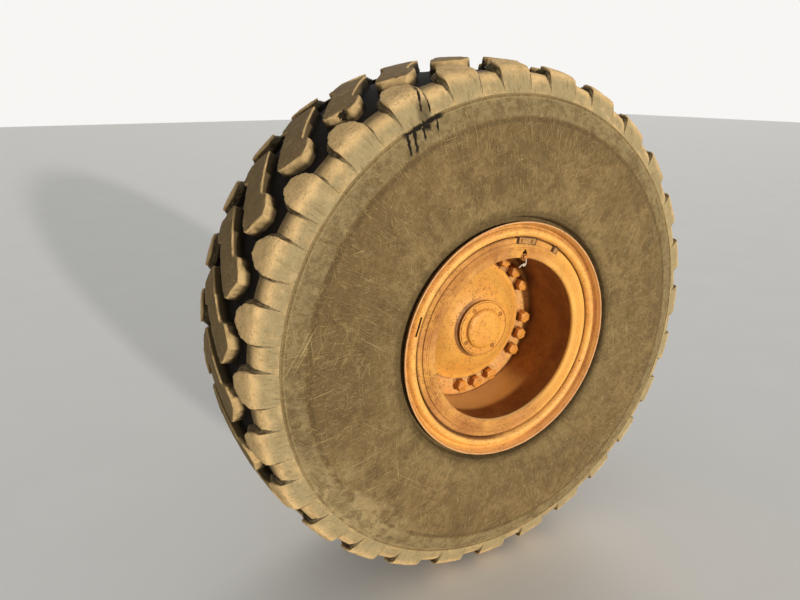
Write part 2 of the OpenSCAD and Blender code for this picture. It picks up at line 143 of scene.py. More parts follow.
def minus(first, second):
    return calc("SUBTRACT", first, second)


def most(*masks):
    result = masks[0]
    for mask in masks[1:]:
        result = calc("MAXIMUM", result, mask)
    return result


def off(value, middle):
    """How far a value is from a middle one."""
    return calc("ABSOLUTE", minus(value, middle))


def spread(value, start, end, low=0.0, high=1.0):
    """Takes a value from start..end to low..high, held in that range."""
    return add_fed("ShaderNodeMapRange", value, start, end, low, high,
                   interpolation_type="SMOOTHSTEP").outputs[0]


def blend(factor, first, second):
    node = add(factor.id_data, "ShaderNodeMix", data_type="RGBA", blend_type="MIX")
    feed(node.inputs["Factor"], factor)
    feed(node.inputs[6], first)
    feed(node.inputs[7], second)
    return node.outputs[2]


def layered(colour, layers):
    """Lays colours over a colour in turn; each layer is a mask, its share and its colour."""
    for mask, share, laid in layers:
        colour = blend(times(mask, share), colour, laid)
    return colour


def between(share, first, second):
    """Colour between two, by a share of the second."""
    return tuple(a + (b - a) * share for a, b in zip(first, second))


def noise(place, scale, detail=5.0, roughness=0.55, distortion=0.0):
    node = add_fed("ShaderNodeTexNoise", place)
    feed(node.inputs["Scale"], scale)
    node.inputs["Detail"].default_value = detail
    node.inputs["Roughness"].default_value = roughness
    node.inputs["Distortion"].default_value = distortion
    return node.outputs[0]


def vector_calc(operation, *vectors):
    node = add_fed("ShaderNodeVectorMath", *vectors, operation=operation)
    return node.outputs["Value"] if operation in ("DOT_PRODUCT", "LENGTH") else node.outputs["Vector"]


def scaled(vector, scale):
    node = add_fed("ShaderNodeVectorMath", vector, operation="SCALE")
    feed(node.inputs["Scale"], scale)
    return node.outputs["Vector"]


def split(vector):
    """X, Y and Z of a vector."""
    return add_fed("ShaderNodeSeparateXYZ", vector).outputs


def vector_of(*parts):
    """Vector from its X, Y and Z."""
    return add_fed("ShaderNodeCombineXYZ", *parts).outputs[0]


VECTOR = "NodeSocketVector"
NUMBER = "NodeSocketFloat"


def group(name, outputs=(("Mask", NUMBER),), **inputs):
    """New node group; outputs are (name, kind), and inputs are numbers or, where None, vectors."""
    tree = bpy.data.node_groups.new(name, "ShaderNodeTree")
    for label, value in inputs.items():
        kind = VECTOR if value is None else NUMBER
        socket = tree.interface.new_socket(label, in_out="INPUT", socket_type=kind)
        if value is not None:
            socket.default_value = value
    for label, kind in outputs:
        tree.interface.new_socket(label, in_out="OUTPUT", socket_type=kind)
    return tree, add(tree, "NodeGroupInput").outputs, add(tree, "NodeGroupOutput").inputs


# Shared effects

def make_wheel_place():
    """Where a point is on the wheel: radius, way round, angle and out; and where it faces."""
    tree, _, out = group("wheel place", [
        ("Place", VECTOR), ("Radius", NUMBER), ("Way", VECTOR), ("Angle", NUMBER),
        ("Out", NUMBER), ("Facing", VECTOR)])
    spot = add(tree, "ShaderNodeTexCoord")
    x, y, z = split(spot.outputs["Object"])
    flat = vector_of(x, 0.0, z)
    feed(out["Place"], spot.outputs["Object"])
    feed(out["Radius"], vector_calc("LENGTH", flat))
    feed(out["Way"], vector_calc("NORMALIZE", flat))
    feed(out["Angle"], calc("ARCTAN2", z, x))
    feed(out["Out"], times(y, -1.0))
    feed(out["Facing"], spot.outputs["Normal"])
    return tree


def make_patches():
    """Soft-edged patches of a given size and share."""
    tree, given, out = group("patches", Place=None, Size=0.1, Share=0.5, Softness=0.1)
    scale = calc("DIVIDE", 1.0, given["Size"])
    cloud = noise(given["Place"], scale, 7.0, 0.6, 0.3)
    level = spread(given["Share"], 0.0, 1.0, 0.72, 0.28)
    low = minus(level, given["Softness"])
    high = plus(level, given["Softness"])
    feed(out["Mask"], spread(cloud, low, high))
    return tree


def make_specks():
    """Scattered round specks of mixed sizes, in clusters."""
    tree, given, out = group("specks", Place=None, Size=0.01, Amount=0.5)
    scale = calc("DIVIDE", 1.0, given["Size"])
    wobble = noise(given["Place"], times(scale, 2.3), 3.0)
    cells = add_fed("ShaderNodeTexVoronoi", given["Place"])
    feed(cells.inputs["Scale"], scale)
    luck = add_fed("ShaderNodeSeparateColor", cells.outputs["Color"])
    cluster = noise(given["Place"], times(scale, 0.13), 3.0)
    reach = times(luck.outputs[0], luck.outputs[0], given["Amount"],
                  spread(cluster, 0.35, 0.65, 0.15, 1.0))
    far = plus(cells.outputs["Distance"], times(wobble, 0.35))
    edge = plus(reach, 0.16)
    feed(out["Mask"], spread(far, edge, plus(edge, 0.07), 1.0, 0.0))
    return tree


def make_streaks():
    """Thin lines, set by how many stand round the wheel and how long they run along its radius."""
    tree, given, out = group("streaks", Way=None, Radius=0.0, Count=60.0, Length=0.2, Share=0.3)
    across = scaled(given["Way"], given["Count"])
    run = vector_of(0.0, calc("DIVIDE", given["Radius"], given["Length"]))
    line = noise(vector_calc("ADD", across, run), 1.0, 4.0, 0.62)
    level = spread(given["Share"], 0.0, 1.0, 0.74, 0.3)
    feed(out["Mask"], spread(line, level, plus(level, 0.09)))
    return tree


def make_scuffs():
    """Thin scratches that run every way, each way in patches of its own."""
    tree, given, out = group("scuffs", Place=None, Length=0.1, Thinness=30.0, Share=0.3)
    scale = calc("DIVIDE", 1.0, given["Length"])
    thin = vector_of(1.0, 1.0, given["Thinness"])
    level = spread(given["Share"], 0.0, 1.0, 0.78, 0.5)
    lines = []
    for turn in (0.25, 1.05, 1.65, 2.5):
        shift = (turn, 0.3 * turn, 3.1 * turn)
        turned_place = add_fed("ShaderNodeMapping", given["Place"], shift, (0.0, turn, 0.0)).outputs[0]
        line = noise(vector_calc("MULTIPLY", turned_place, thin), scale, 2.0, 0.5, 0.15)
        patch = noise(turned_place, times(scale, 0.6), 2.0)
        lines.append(times(spread(line, level, plus(level, 0.06)), spread(patch, 0.46, 0.6)))
    feed(out["Mask"], most(*lines))
    return tree


# Runs of the oily stain on the tyre: X, highest Z, lowest Z and half width
STAIN_RUNS = [
    (-0.3715, 0.662, 0.604, 0.0030), (-0.3525, 0.674, 0.611, 0.0042), (-0.3240, 0.700, 0.643, 0.0026),
    (-0.2830, 0.714, 0.665, 0.0020), (-0.3250, 0.780, 0.712, 0.0026), (-0.3250, 0.784, 0.770, 0.0052),
    (-0.2990, 0.750, 0.712, 0.0028), (-0.3130, 0.690, 0.668, 0.0100)]
STAIN_R = 0.760
STAIN_ANGLE = 2.013
VEIL_X = -0.318


def make_stain():
    """Black oily stain along the tyre's edge line, with runs above and below it."""
    tree, given, out = group("stain", Place=None, Radius=0.0, Angle=0.0)
    x, y, z = split(given["Place"])
    ragged = times(minus(noise(given["Place"], 90.0, 3.0), 0.5), 0.008)
    swell = times(minus(noise(given["Place"], 40.0, 3.0), 0.45), 0.012)

    def ragged_off(value, middle):
        return calc("ABSOLUTE", plus(minus(value, middle), ragged))

    masks = []
    for middle, top, low, half in STAIN_RUNS:
        far = minus(ragged_off(x, middle), swell)
        masks.append(times(spread(far, half * 0.7, half * 1.5, 1.0, 0.0),
                           spread(z, low - 0.004, low + 0.012),
                           spread(z, top - 0.004, top + 0.004, 1.0, 0.0)))
    far = minus(ragged_off(given["Radius"], STAIN_R), swell)
    sweep = off(given["Angle"], STAIN_ANGLE)
    masks.append(times(spread(far, 0.003, 0.008, 1.0, 0.0), spread(sweep, 0.075, 0.1, 1.0, 0.0)))
    masks.append(times(spread(ragged_off(x, VEIL_X), 0.010, 0.026, 0.6, 0.0),
                       spread(z, 0.690, 0.702), spread(z, 0.760, 0.736)))
    outer_side = spread(y, -0.60, -0.62)
    feed(out["Mask"], times(most(*masks), outer_side))
    return tree


# Torn places on the middle blocks: place, reach along the axle, reach along the tread, and depth
TEARS = [((-0.489, -0.556, 0.709), 0.022, 0.024, 0.010), ((-0.305, -0.549, 0.8115), 0.006, 0.014, 0.006)]


def make_torn():
    """Dark, ragged places where rubber is torn out of the tread."""
    tree, given, out = group("torn", Place=None)
    ragged = times(noise(given["Place"], 120.0, 4.0, 0.6), 1.6)
    masks = []
    for place, across, along, _ in TEARS:
        away = vector_calc("SUBTRACT", given["Place"], place)
        share = vector_calc("MULTIPLY", away, (1 / along, 1 / across, 1 / along))
        far = vector_calc("LENGTH", share)
        masks.append(spread(plus(far, ragged), 1.5, 1.62, 1.0, 0.0))
    feed(out["Mask"], most(*masks))
    return tree


def make_corner_dirt_and_shade():
    """Mask of the inner corners, found by ambient occlusion: soil that gathers there, and a painted shade.
    """
    tree, given, out = group("corner dirt and shade", Place=None, Reach=0.02, Roughness=0.4)
    shade = add(tree, "ShaderNodeAmbientOcclusion", samples=6)
    feed(shade.inputs["Distance"], given["Reach"])
    cloud = noise(given["Place"], 45.0, 4.0, 0.6)
    shut = minus(1.0, shade.outputs["AO"])
    ragged = times(minus(cloud, 0.5), given["Roughness"])
    feed(out["Mask"], spread(plus(shut, ragged), 0.12, 0.75))
    return tree


def make_edge_wear_and_highlight():
    """Mask of the outer edges, where a finish wears through; on the tread it is also used for a painted
    highlight.
    """
    tree, given, out = group("edge wear and highlight", Place=None, Width=0.003, Share=0.5)
    soft = add(tree, "ShaderNodeBevel", samples=4)
    feed(soft.inputs["Radius"], given["Width"])
    facing = add(tree, "ShaderNodeNewGeometry").outputs["Normal"]
    bent = minus(1.0, vector_calc("DOT_PRODUCT", soft.outputs[0], facing))
    shade = add(tree, "ShaderNodeAmbientOcclusion", samples=4)
    feed(shade.inputs["Distance"], times(given["Width"], 2.0))
    open_side = spread(shade.outputs["AO"], 0.6, 0.85)
    cloud = noise(given["Place"], 60.0, 5.0, 0.6)
    need = spread(given["Share"], 0.0, 1.0, 0.7, 0.35)
    broken = spread(cloud, need, plus(need, 0.12))
    feed(out["Mask"], times(spread(bent, 0.02, 0.16), open_side, broken))
    return tree


wheel_place = make_wheel_place()
patches = make_patches()
specks = make_specks()
streaks = make_streaks()
scuffs = make_scuffs()
stain = make_stain()
torn = make_torn()
corner_dirt_and_shade = make_corner_dirt_and_shade()
edge_wear_and_highlight = make_edge_wear_and_highlight()


# Finishes

def new_finish(name):
    """A material with its shader, its point on the wheel, and a maker of its masks."""
    finish = bpy.data.materials.new(name)
    finish.use_nodes = True
    tree = finish.node_tree
    at = add(tree, "ShaderNodeGroup", node_tree=wheel_place).outputs

    def mask(effect, **values):
        """Places a shared effect here, at this point of the wheel."""
        node = add(tree, "ShaderNodeGroup", node_tree=effect)
        for socket in node.inputs:
            if socket.name in at:
                feed(socket, at[socket.name])
        for label, value in values.items():
            feed(node.inputs[label.capitalize()], value)
        return node.outputs["Mask"]

    return finish, tree.nodes["Principled BSDF"], at, mask


def coat(shader, colour, roughness, height, depth):
    """Gives a shader its colour, roughness and relief of a depth."""
    feed(shader.inputs["Base Color"], colour)
    feed(shader.inputs["Roughness"], roughness)
    bump = add(shader.id_data, "ShaderNodeBump")
    bump.inputs["Strength"].default_value = 1.0
    bump.inputs["Distance"].default_value = depth
    feed(bump.inputs["Height"], height)
    feed(shader.inputs["Normal"], bump.outputs[0])


def make_dull(shader):
    """Rubber and dust hardly shine."""
    shader.inputs["Specular IOR Level"].default_value = 0.15


def near_radius(radius, middle, half):
    """Mask of a thin ring about a radius."""
    return spread(off(radius, middle), half * 0.3, half, 1.0, 0.0)


OIL = srgb(17, 13, 8)

# Radii on the sidewall: the band below the edge, the dark line at its foot, and two edge lines
BAND_FOOT_R = 0.694
BAND_START_R = 0.700
BAND_END_R = 0.762
EDGE_LINE_R = 0.766
LOW_LINE_R = 0.756


def make_sidewall_rubber():
    finish, shader, at, mask = new_finish("sidewall rubber")
    make_dull(shader)
    place, radius, angle = at["Place"], at["Radius"], at["Angle"]
    broad = mask(patches, size=0.22, share=0.5, softness=0.14)
    blotch = mask(patches, size=0.07, share=0.42, softness=0.07)
    fine = mask(patches, size=0.02, share=0.48, softness=0.08)
    crust = mask(patches, size=0.040, share=0.5, softness=0.09)
    fibres = mask(streaks, count=170.0, length=0.03, share=0.5)
    radial = mask(streaks, count=55.0, length=0.10, share=0.35)
    short_scratch = mask(scuffs, length=0.028, thinness=14.0, share=0.6)
    scratch = mask(scuffs, length=0.07, thinness=30.0, share=0.55)
    long_scratch = mask(scuffs, length=0.24, thinness=90.0, share=0.52)
    grit = mask(specks, size=0.009, amount=0.35)
    band = times(spread(radius, BAND_START_R, BAND_START_R + 0.010),
                 spread(radius, BAND_END_R, BAND_END_R - 0.006))
    band_foot = near_radius(radius, BAND_FOOT_R, 0.010)
    edge_line = most(near_radius(radius, EDGE_LINE_R, 0.004), near_radius(radius, LOW_LINE_R, 0.002))
    foot = spread(radius, 0.440, 0.405)
    middle = spread(radius, 0.540, 0.450)
    left = spread(calc("ABSOLUTE", angle), 2.5, 3.1)
    low_left = times(spread(angle, -2.95, -2.6), spread(angle, -2.0, -2.35))
    mud = times(crust, low_left, spread(radius, 0.60, 0.70))
    colour = layered(blend(broad, srgb(142, 116, 75), srgb(116, 93, 58)), [
        (left, 0.7, srgb(108, 86, 54)), (middle, 0.35, srgb(156, 131, 85)), (band, 0.7, srgb(156, 137, 97)),
        (band_foot, 0.6, srgb(78, 62, 38)), (blotch, 0.6, srgb(96, 76, 46)), (fine, 0.55, srgb(104, 83, 51)),
        (radial, 0.28, srgb(168, 142, 92)), (fibres, 0.3, srgb(178, 152, 100)),
        (short_scratch, 0.36, srgb(182, 156, 104)), (scratch, 0.42, srgb(190, 164, 110)),
        (long_scratch, 0.5, srgb(196, 170, 116)), (grit, 0.5, srgb(72, 56, 34)),
        (edge_line, 0.35, srgb(186, 161, 112)), (foot, 0.5, srgb(84, 67, 41)),
        (mud, 0.75, srgb(186, 160, 112)), (mask(stain), 0.97, OIL)])
    height = plus(times(noise(place, 170.0, 6.0, 0.66), 0.7),
                  noise(place, 30.0, 5.0, 0.6),
                  times(most(scratch, long_scratch, fibres), 0.3), times(mud, 1.2))
    coat(shader, colour, spread(broad, 0.0, 1.0, 0.92, 0.8), height, 0.0028)
    return finish


def make_tread_rubber(name, base, faded, top_wear_and_light):
    """Dusty rubber of the tread: worn tops tinted with painted light on the edge lugs and painted shade on
    the middle blocks, painted shade on its flanks, block walls and groove walls, and painted highlights on
    its edges.
    """
    finish, shader, at, mask = new_finish(name)
    make_dull(shader)
    place = at["Place"]
    outward = vector_calc("DOT_PRODUCT", at["Facing"], at["Way"])
    sideways = calc("ABSOLUTE", split(at["Facing"])[1])
    cloud = times(minus(noise(place, 24.0, 4.0), 0.5), 0.5)
    off_middle = off(at["Out"], TYRE_MID)
    top = spread(plus(outward, cloud), 0.72, 1.0)
    side = times(spread(plus(sideways, cloud), 0.66, 0.98), spread(off_middle, 0.270, 0.286))
    lowered = minus(TYRE_R, times(off_middle, off_middle, CROWN_DROP / EDGE ** 2))
    depth = minus(lowered, at["Radius"])
    # Painted shade that grows with the depth below the crown, down the groove walls.
    depth_shade = times(spread(depth, 0.014, 0.030), spread(off_middle, 0.260, 0.225))
    # Painted shade on the flanks that face along the tread, below their top edge.
    facing_round = plus(times(outward, outward), times(sideways, sideways))
    flank_shade = times(spread(facing_round, 0.72, 0.40), spread(depth, 0.003, 0.014))
    # Painted shadow on the outer block walls below a thin lit strip at their top.
    wall = times(spread(sideways, 0.25, 0.6), spread(depth, 0.003, 0.0075),
                 spread(minus(at["Out"], TYRE_MID), 0.118, 0.092))
    broad = mask(patches, size=0.1, share=0.5, softness=0.15)
    blotch = mask(patches, size=0.035, share=0.4, softness=0.1)
    grain = mask(patches, size=0.006, share=0.5, softness=0.12)
    pits = times(mask(specks, size=0.008, amount=0.5), spread(side, 0.0, 1.0, 1.0, 0.3))
    scratch = mask(scuffs, length=0.05, thinness=18.0, share=0.45)
    down = mask(streaks, count=130.0, length=0.04, share=0.45)
    # Darker inner corners: soil, and painted shade.
    dirt_and_shade = mask(corner_dirt_and_shade, reach=0.03, roughness=0.25)
    # Pale edges: rubber worn pale, and a painted highlight.
    edge = mask(edge_wear_and_highlight, width=0.006, share=0.75)
    colour = layered(blend(broad, base, faded), [
        (top, 0.85, top_wear_and_light), (side, 0.85, srgb(160, 144, 105)), (blotch, 0.3, srgb(150, 122, 80)),
        (times(side, down), 0.5, srgb(118, 104, 72)), (times(grain, top), 0.22, srgb(96, 77, 50)),
        (pits, 0.28, srgb(98, 79, 50)), (scratch, 0.35, srgb(232, 202, 144)),
        (most(flank_shade, wall), 0.82, srgb(48, 37, 23)), (edge, 0.6, srgb(240, 212, 156)),
        (dirt_and_shade, 0.7, srgb(50, 39, 24)), (depth_shade, 0.88, srgb(26, 20, 12)),
        (most(mask(stain), mask(torn)), 0.96, OIL)])
    height = plus(minus(noise(place, 130.0, 7.0, 0.68), times(pits, 0.3)), noise(place, 34.0, 4.0, 0.6))
    coat(shader, colour, spread(broad, 0.0, 1.0, 0.94, 0.84), height, 0.004)
    return finish


def make_groove_shade_rubber():
    finish, shader, at, mask = new_finish("groove shade rubber")
    make_dull(shader)
    broad = mask(patches, size=0.05, share=0.5, softness=0.14)
    # Near-black: painted shade in the grooves, over the rubber's own dark colour.
    colour = blend(broad, srgb(15, 11, 7), srgb(26, 20, 13))
    coat(shader, colour, 0.92, noise(at["Place"], 90.0, 6.0, 0.65), 0.003)
    return finish


# Radii of marks in the paint: painted shadows at the cap's edge, in the lock ring's gap and in the flange's
# curl, and the lip's own tint
CAP_GAP_R = 0.1030
RING_GAP_R = 0.3425
ROLL_R = 0.3805
LIP_START_R = 0.383


def make_paint(name, base, faded, rust, rust_share, dust_share):
    """Old paint: faded patches, rust specks, dust on what faces up, soil and painted shade in the corners,
    and painted shadows on faces turned to -X, in the cap and ring gap and in the flange's curl.
    """
    finish, shader, at, mask = new_finish(name)
    place, radius = at["Place"], at["Radius"]
    x, _, z = split(place)
    facing_x, _, facing_z = split(at["Facing"])
    broad = mask(patches, size=0.12, share=0.5, softness=0.15)
    mottle = mask(patches, size=0.018, share=0.4, softness=0.12)
    grain = mask(patches, size=0.0042, share=0.45, softness=0.1)
    bloom = mask(patches, size=0.07, share=rust_share * 0.55, softness=0.09)
    round_lines = mask(streaks, count=4.0, length=0.004, share=0.4)
    big_rust = mask(specks, size=0.016, amount=rust_share)
    small_rust = mask(specks, size=0.0055, amount=rust_share * 1.4)
    dots = mask(specks, size=0.0036, amount=0.6 + rust_share)
    spots = most(times(big_rust, 0.75), times(small_rust, 0.65), times(dots, 0.45))
    # Darker corners, weaker towards the bottom: soil, and painted shade.
    dirt_and_shade = times(mask(corner_dirt_and_shade, reach=0.02, roughness=0.5), spread(z, -0.30, -0.16, 0.25, 1.0))
    edge = mask(edge_wear_and_highlight, width=0.004, share=0.55)
    dust = times(spread(facing_z, 0.1, 0.9), dust_share)
    # Painted shade on faces turned to -X, at radii under about 0.33 m.
    left_facing_shade = times(spread(facing_x, -0.45, -0.9), spread(radius, 0.33, 0.31))
    # Painted shadow in the flange's curl, on the +X side.
    roll_shadow = times(near_radius(radius, ROLL_R, 0.006), spread(x, 0.0, 0.2))
    # Painted shadow in the cap's and the lock ring's gap, on the -X side.
    gap_shadows = most(near_radius(radius, CAP_GAP_R, 0.0075), near_radius(radius, RING_GAP_R, 0.0065))
    lip = spread(radius, LIP_START_R, LIP_START_R + 0.007)
    colour = layered(blend(broad, base, faded), [
        (mottle, 0.25, rust), (grain, 0.25, rust), (round_lines, 0.14, srgb(206, 136, 70)),
        (bloom, 0.5, rust), (dust, 1.0, srgb(222, 174, 112)), (edge, 0.5, srgb(206, 148, 96)),
        (dirt_and_shade, 0.85, srgb(104, 60, 26)), (left_facing_shade, 0.6, srgb(112, 60, 24)), (roll_shadow, 0.6, srgb(150, 86, 38)),
        (times(gap_shadows, spread(x, 0.02, -0.06)), 0.8, srgb(104, 56, 22)),
        (lip, 0.6, srgb(216, 160, 116)), (spots, 1.0, srgb(118, 62, 26))])
    rough = most(spots, times(dirt_and_shade, 0.8), dust)
    height = plus(times(noise(place, 70.0, 6.0, 0.62), 0.7), times(spots, 0.25), times(mottle, 0.2))
    coat(shader, colour, spread(rough, 0.0, 1.0, 0.52, 0.9), height, 0.0012)
    return finish


def make_rust(name, dark, light, paint, paint_share, dust_and_light_end=2.0, right_side_light=0.0):
    """Rusty steel with what is left of its paint; paint colour laid more towards +X is a painted light on
    that side.

    Dust lies on it as far out as its given end; on the barrel it also stands for a painted light, the sunlit
    patch near the disc.
    """
    finish, shader, at, mask = new_finish(name)
    place = at["Place"]
    broad = mask(patches, size=0.09, share=0.5, softness=0.18)
    fine = mask(patches, size=0.012, share=0.45, softness=0.1)
    left = mask(patches, size=0.15, share=paint_share, softness=0.14)
    crumbs = mask(specks, size=0.007, amount=0.9)
    # Darker corners: soil, and painted shade.
    dirt_and_shade = mask(corner_dirt_and_shade, reach=0.03, roughness=0.5)
    # Painted light: the paint colour laid over the +X side.
    painted = spread(split(place)[0], 0.05, 0.26, 0.0, right_side_light)
    # Up-facing dust; on the barrel, also the painted light of the sunlit patch.
    dust = times(spread(split(at["Facing"])[2], 0.68, 0.92),
                 spread(at["Out"], dust_and_light_end, dust_and_light_end - 0.03))
    colour = layered(blend(broad, dark, light), [
        (fine, 0.35, between(0.5, dark, srgb(142, 76, 34))), (left, 0.8, paint),
        (crumbs, 0.45, between(0.45, dark, srgb(66, 33, 13))),
        (dirt_and_shade, 0.6, between(0.7, dark, srgb(48, 28, 14))),
        (painted, 1.0, paint), (dust, 0.8, srgb(246, 206, 130))])
    height = plus(noise(place, 110.0, 7.0, 0.66), times(crumbs, 0.3))
    coat(shader, colour, spread(broad, 0.0, 1.0, 0.92, 0.76), height, 0.0016)
    return finish


def make_steel(name, base, stained, rust_share, metallic, roughness):
    """Bare steel: stained, a little rusty, with rings from turning or rubbing."""
    finish, shader, at, mask = new_finish(name)
    broad = mask(patches, size=0.06, share=0.5, softness=0.15)
    rings = mask(streaks, count=1.5, length=0.0012, share=0.5)
    rust = mask(patches, size=0.035, share=rust_share, softness=0.1)
    spots = mask(specks, size=0.006, amount=rust_share)
    # Darker corners: soil, and painted shade.
    dirt_and_shade = mask(corner_dirt_and_shade, reach=0.012, roughness=0.4)
    colour = layered(blend(broad, base, stained), [
        (rings, 0.25, srgb(186, 178, 166)), (rust, 0.85, srgb(118, 68, 34)),
        (spots, 0.8, srgb(84, 44, 20)), (dirt_and_shade, 0.8, srgb(40, 30, 20))])
    covered = most(rust, spots, dirt_and_shade)
    feed(shader.inputs["Metallic"], spread(covered, 0.0, 1.0, metallic, 0.0))
    height = plus(rings, noise(at["Place"], 140.0, 5.0, 0.6))
    coat(shader, colour, spread(covered, 0.0, 1.0, roughness, 0.85), height, 0.0004)
    return finish


sidewall_rubber = make_sidewall_rubber()
# Tread tops: a painted light on the edge lugs, a painted shade on the middle blocks.
lug_rubber = make_tread_rubber(
    "edge lug rubber", srgb(244, 204, 142), srgb(224, 187, 129), srgb(240, 201, 139))
block_rubber = make_tread_rubber(
    "middle block rubber", srgb(226, 189, 130), srgb(208, 174, 118), srgb(126, 104, 70))
# Lug steps: a dark painted shade, with a painted light on their tops.
step_shade_rubber = make_tread_rubber(
    "lug step shade rubber", srgb(74, 58, 37), srgb(58, 45, 28), srgb(112, 90, 58))
groove_shade_rubber = make_groove_shade_rubber()
rim_paint = make_paint("rim paint", srgb(252, 190, 88), srgb(244, 176, 84), srgb(214, 140, 74), 0.2, 0.3)
hub_paint = make_paint("hub paint", srgb(255, 189, 84), srgb(254, 177, 76), srgb(228, 146, 70), 0.32, 0.12)
cap_paint = make_paint("cap paint", srgb(248, 176, 68), srgb(236, 160, 60), srgb(198, 122, 50), 0.32, 0.12)
disc_paint = make_paint("disc paint", srgb(244, 184, 100), srgb(232, 166, 86), srgb(192, 124, 62), 0.4, 0.12)
bolt_paint = make_paint("bolt paint", srgb(240, 162, 60), srgb(220, 140, 48), srgb(170, 100, 38), 0.4, 0.15)
# Painted light on the lock ring's +X side.
ring_rust = make_rust(
    "lock ring rust", srgb(186, 122, 58), srgb(208, 142, 70), srgb(248, 184, 86), 0.42, right_side_light=0.75)
# Dark finish of the plates under the keys: a painted shadow.
key_shadow_finish = make_rust("key_shadow_finish", srgb(50, 27, 12), srgb(66, 37, 17), srgb(90, 52, 24), 0.3)
key_rust = make_rust("key rust", srgb(184, 136, 76), srgb(158, 120, 68), srgb(222, 154, 80), 0.4)
# The barrel's dust ends at 0.625 out, as dust and as painted light.
barrel_rust = make_rust("barrel rust", srgb(128, 77, 26), srgb(150, 95, 36), srgb(170, 112, 46), 0.4, 0.625)
casting = make_rust("axle casting", srgb(92, 60, 36), srgb(122, 80, 46), srgb(196, 132, 64), 0.5)
dull_steel = make_steel("dull steel", srgb(128, 112, 92), srgb(98, 80, 60), 0.4, 0.7, 0.5)
wire_steel = make_steel("wire steel", srgb(240, 226, 200), srgb(220, 204, 176), 0.1, 0.1, 0.6)
brake_steel = make_steel("brake steel", srgb(150, 144, 136), srgb(120, 110, 98), 0.3, 0.9, 0.35)
bolt_steel = make_steel("bolt steel", srgb(112, 90, 66), srgb(84, 62, 44), 0.55, 0.6, 0.55)


# Camera, lights and floor

def make_camera():
    camera = bpy.data.objects.new("camera", bpy.data.cameras.new("camera"))
    bpy.context.scene.collection.objects.link(camera)
    camera.data.lens = 29.7
    camera.data.sensor_width = 36
    camera.location = (-1.2701, -2.2988, 0.7902)
    look_down, look_right = 0.3158, 0.5060
    camera.rotation_euler = (math.pi / 2 - look_down, 0, -look_right)
    bpy.context.scene.camera = camera


def add_sun(name, energy, softness, towards_light):
    sun = bpy.data.objects.new(name, bpy.data.lights.new(name, "SUN"))
    bpy.context.scene.collection.objects.link(sun)
    sun.data.energy = energy
    sun.data.angle = math.radians(softness)
    sun.rotation_euler = Vector(towards_light).to_track_quat("Z", "Y").to_euler()
    return sun


def make_light():
    """Low sun on the outer side, and a soft light from behind."""
    add_sun("key light", 2.7, 2.5, (0.06, -1.0, 0.13)).data.color = (1.0, 0.97, 0.92)
    add_sun("back light", 1.4, 50, (0.9, 1.0, 0.45))


def make_world():
    world = bpy.data.worlds.new("studio")
    bpy.context.scene.world = world
    world.use_nodes = True
    tree = world.node_tree
    glow = tree.nodes["Background"]
    glow.inputs["Color"].default_value = (0.95, 0.97, 1.0, 1)
    glow.inputs["Strength"].default_value = 0.30
    backdrop = add(tree, "ShaderNodeBackground")
    backdrop.inputs["Color"].default_value = (0.93, 0.92, 0.90, 1)
    path = add(tree, "ShaderNodeLightPath")
    seen = most(path.outputs["Is Camera Ray"], path.outputs["Is Glossy Ray"],
                path.outputs["Is Transmission Ray"])
    mix = add(tree, "ShaderNodeMixShader")
    feed(mix.inputs[0], seen)
    feed(mix.inputs[1], glow.outputs[0])
    feed(mix.inputs[2], backdrop.outputs[0])
    feed(tree.nodes["World Output"].inputs[0], mix.outputs[0])


def make_floor():
    deselect()
    bpy.ops.mesh.primitive_plane_add(size=60, location=(0, 0, -TYRE_R))
    floor = bpy.context.object
    floor.name = "floor"
    finish, shader, at, _ = new_finish("pale floor")
    tone = noise(at["Place"], 2.0, 4.0, 0.5)
    feed(shader.inputs["Base Color"], blend(tone, srgb(242, 240, 234), srgb(236, 234, 228)))
    shader.inputs["Roughness"].default_value = 0.9
    floor.data.materials.append(finish)


# Modelling helpers

def deselect():
    if bpy.context.object and bpy.context.object.mode != "OBJECT":
        bpy.ops.object.mode_set(mode="OBJECT")
    bpy.ops.object.select_all(action="DESELECT")


def pick(*pieces):
    """Selects pieces, the first one active."""
    deselect()
    for piece in pieces:
        piece.select_set(True)
    bpy.context.view_layer.objects.active = pieces[0]


def start_point(name, place):
    """New piece of one vertex: a small plane merged at its middle and moved to its place."""
    deselect()
    bpy.ops.mesh.primitive_plane_add(size=0.01, location=(0, 0, 0))
    piece = bpy.context.object
    piece.name = name
    bpy.ops.object.mode_set(mode="EDIT")
    bpy.ops.mesh.select_mode(type="VERT")
    bpy.ops.mesh.select_all(action="SELECT")
    bpy.ops.mesh.merge(type="CENTER")
    bpy.ops.transform.translate(value=place)
    return piece


def trace(points):
    """Draws a line through the points by extruding its last vertex."""
    for start, end in zip(points, points[1:]):
        step = Vector(end) - Vector(start)
        bpy.ops.mesh.extrude_region_move(TRANSFORM_OT_translate={"value": step})


def merge_all():
    bpy.ops.mesh.select_all(action="SELECT")
    bpy.ops.mesh.remove_doubles(threshold=MERGE)


def face_outwards():
    bpy.ops.mesh.select_all(action="SELECT")
    bpy.ops.mesh.normals_make_consistent(inside=False)


def smooth(angle):
    """Shades the active piece smooth where it bends by less than the angle, in degrees."""
    bpy.ops.object.shade_smooth_by_angle(angle=math.radians(angle))


def pick_faces(piece, wanted):
    """Selects the wanted faces of the piece that is in edit mode."""
    bpy.ops.mesh.select_all(action="DESELECT")
    bpy.ops.object.mode_set(mode="OBJECT")
    for face in piece.data.polygons:
        face.select = wanted(face)
    bpy.ops.object.mode_set(mode="EDIT")


def softened(points, passes):
    """Closed outline whose corners are cut again and again, so that it runs smoothly."""
    for _ in range(passes):
        cut = []
        for (r0, out0), (r1, out1) in zip(points, points[1:] + points[:1]):
            for share in (0.25, 0.75):
                cut.append((r0 + (r1 - r0) * share, out0 + (out1 - out0) * share))
        points = cut
    return points


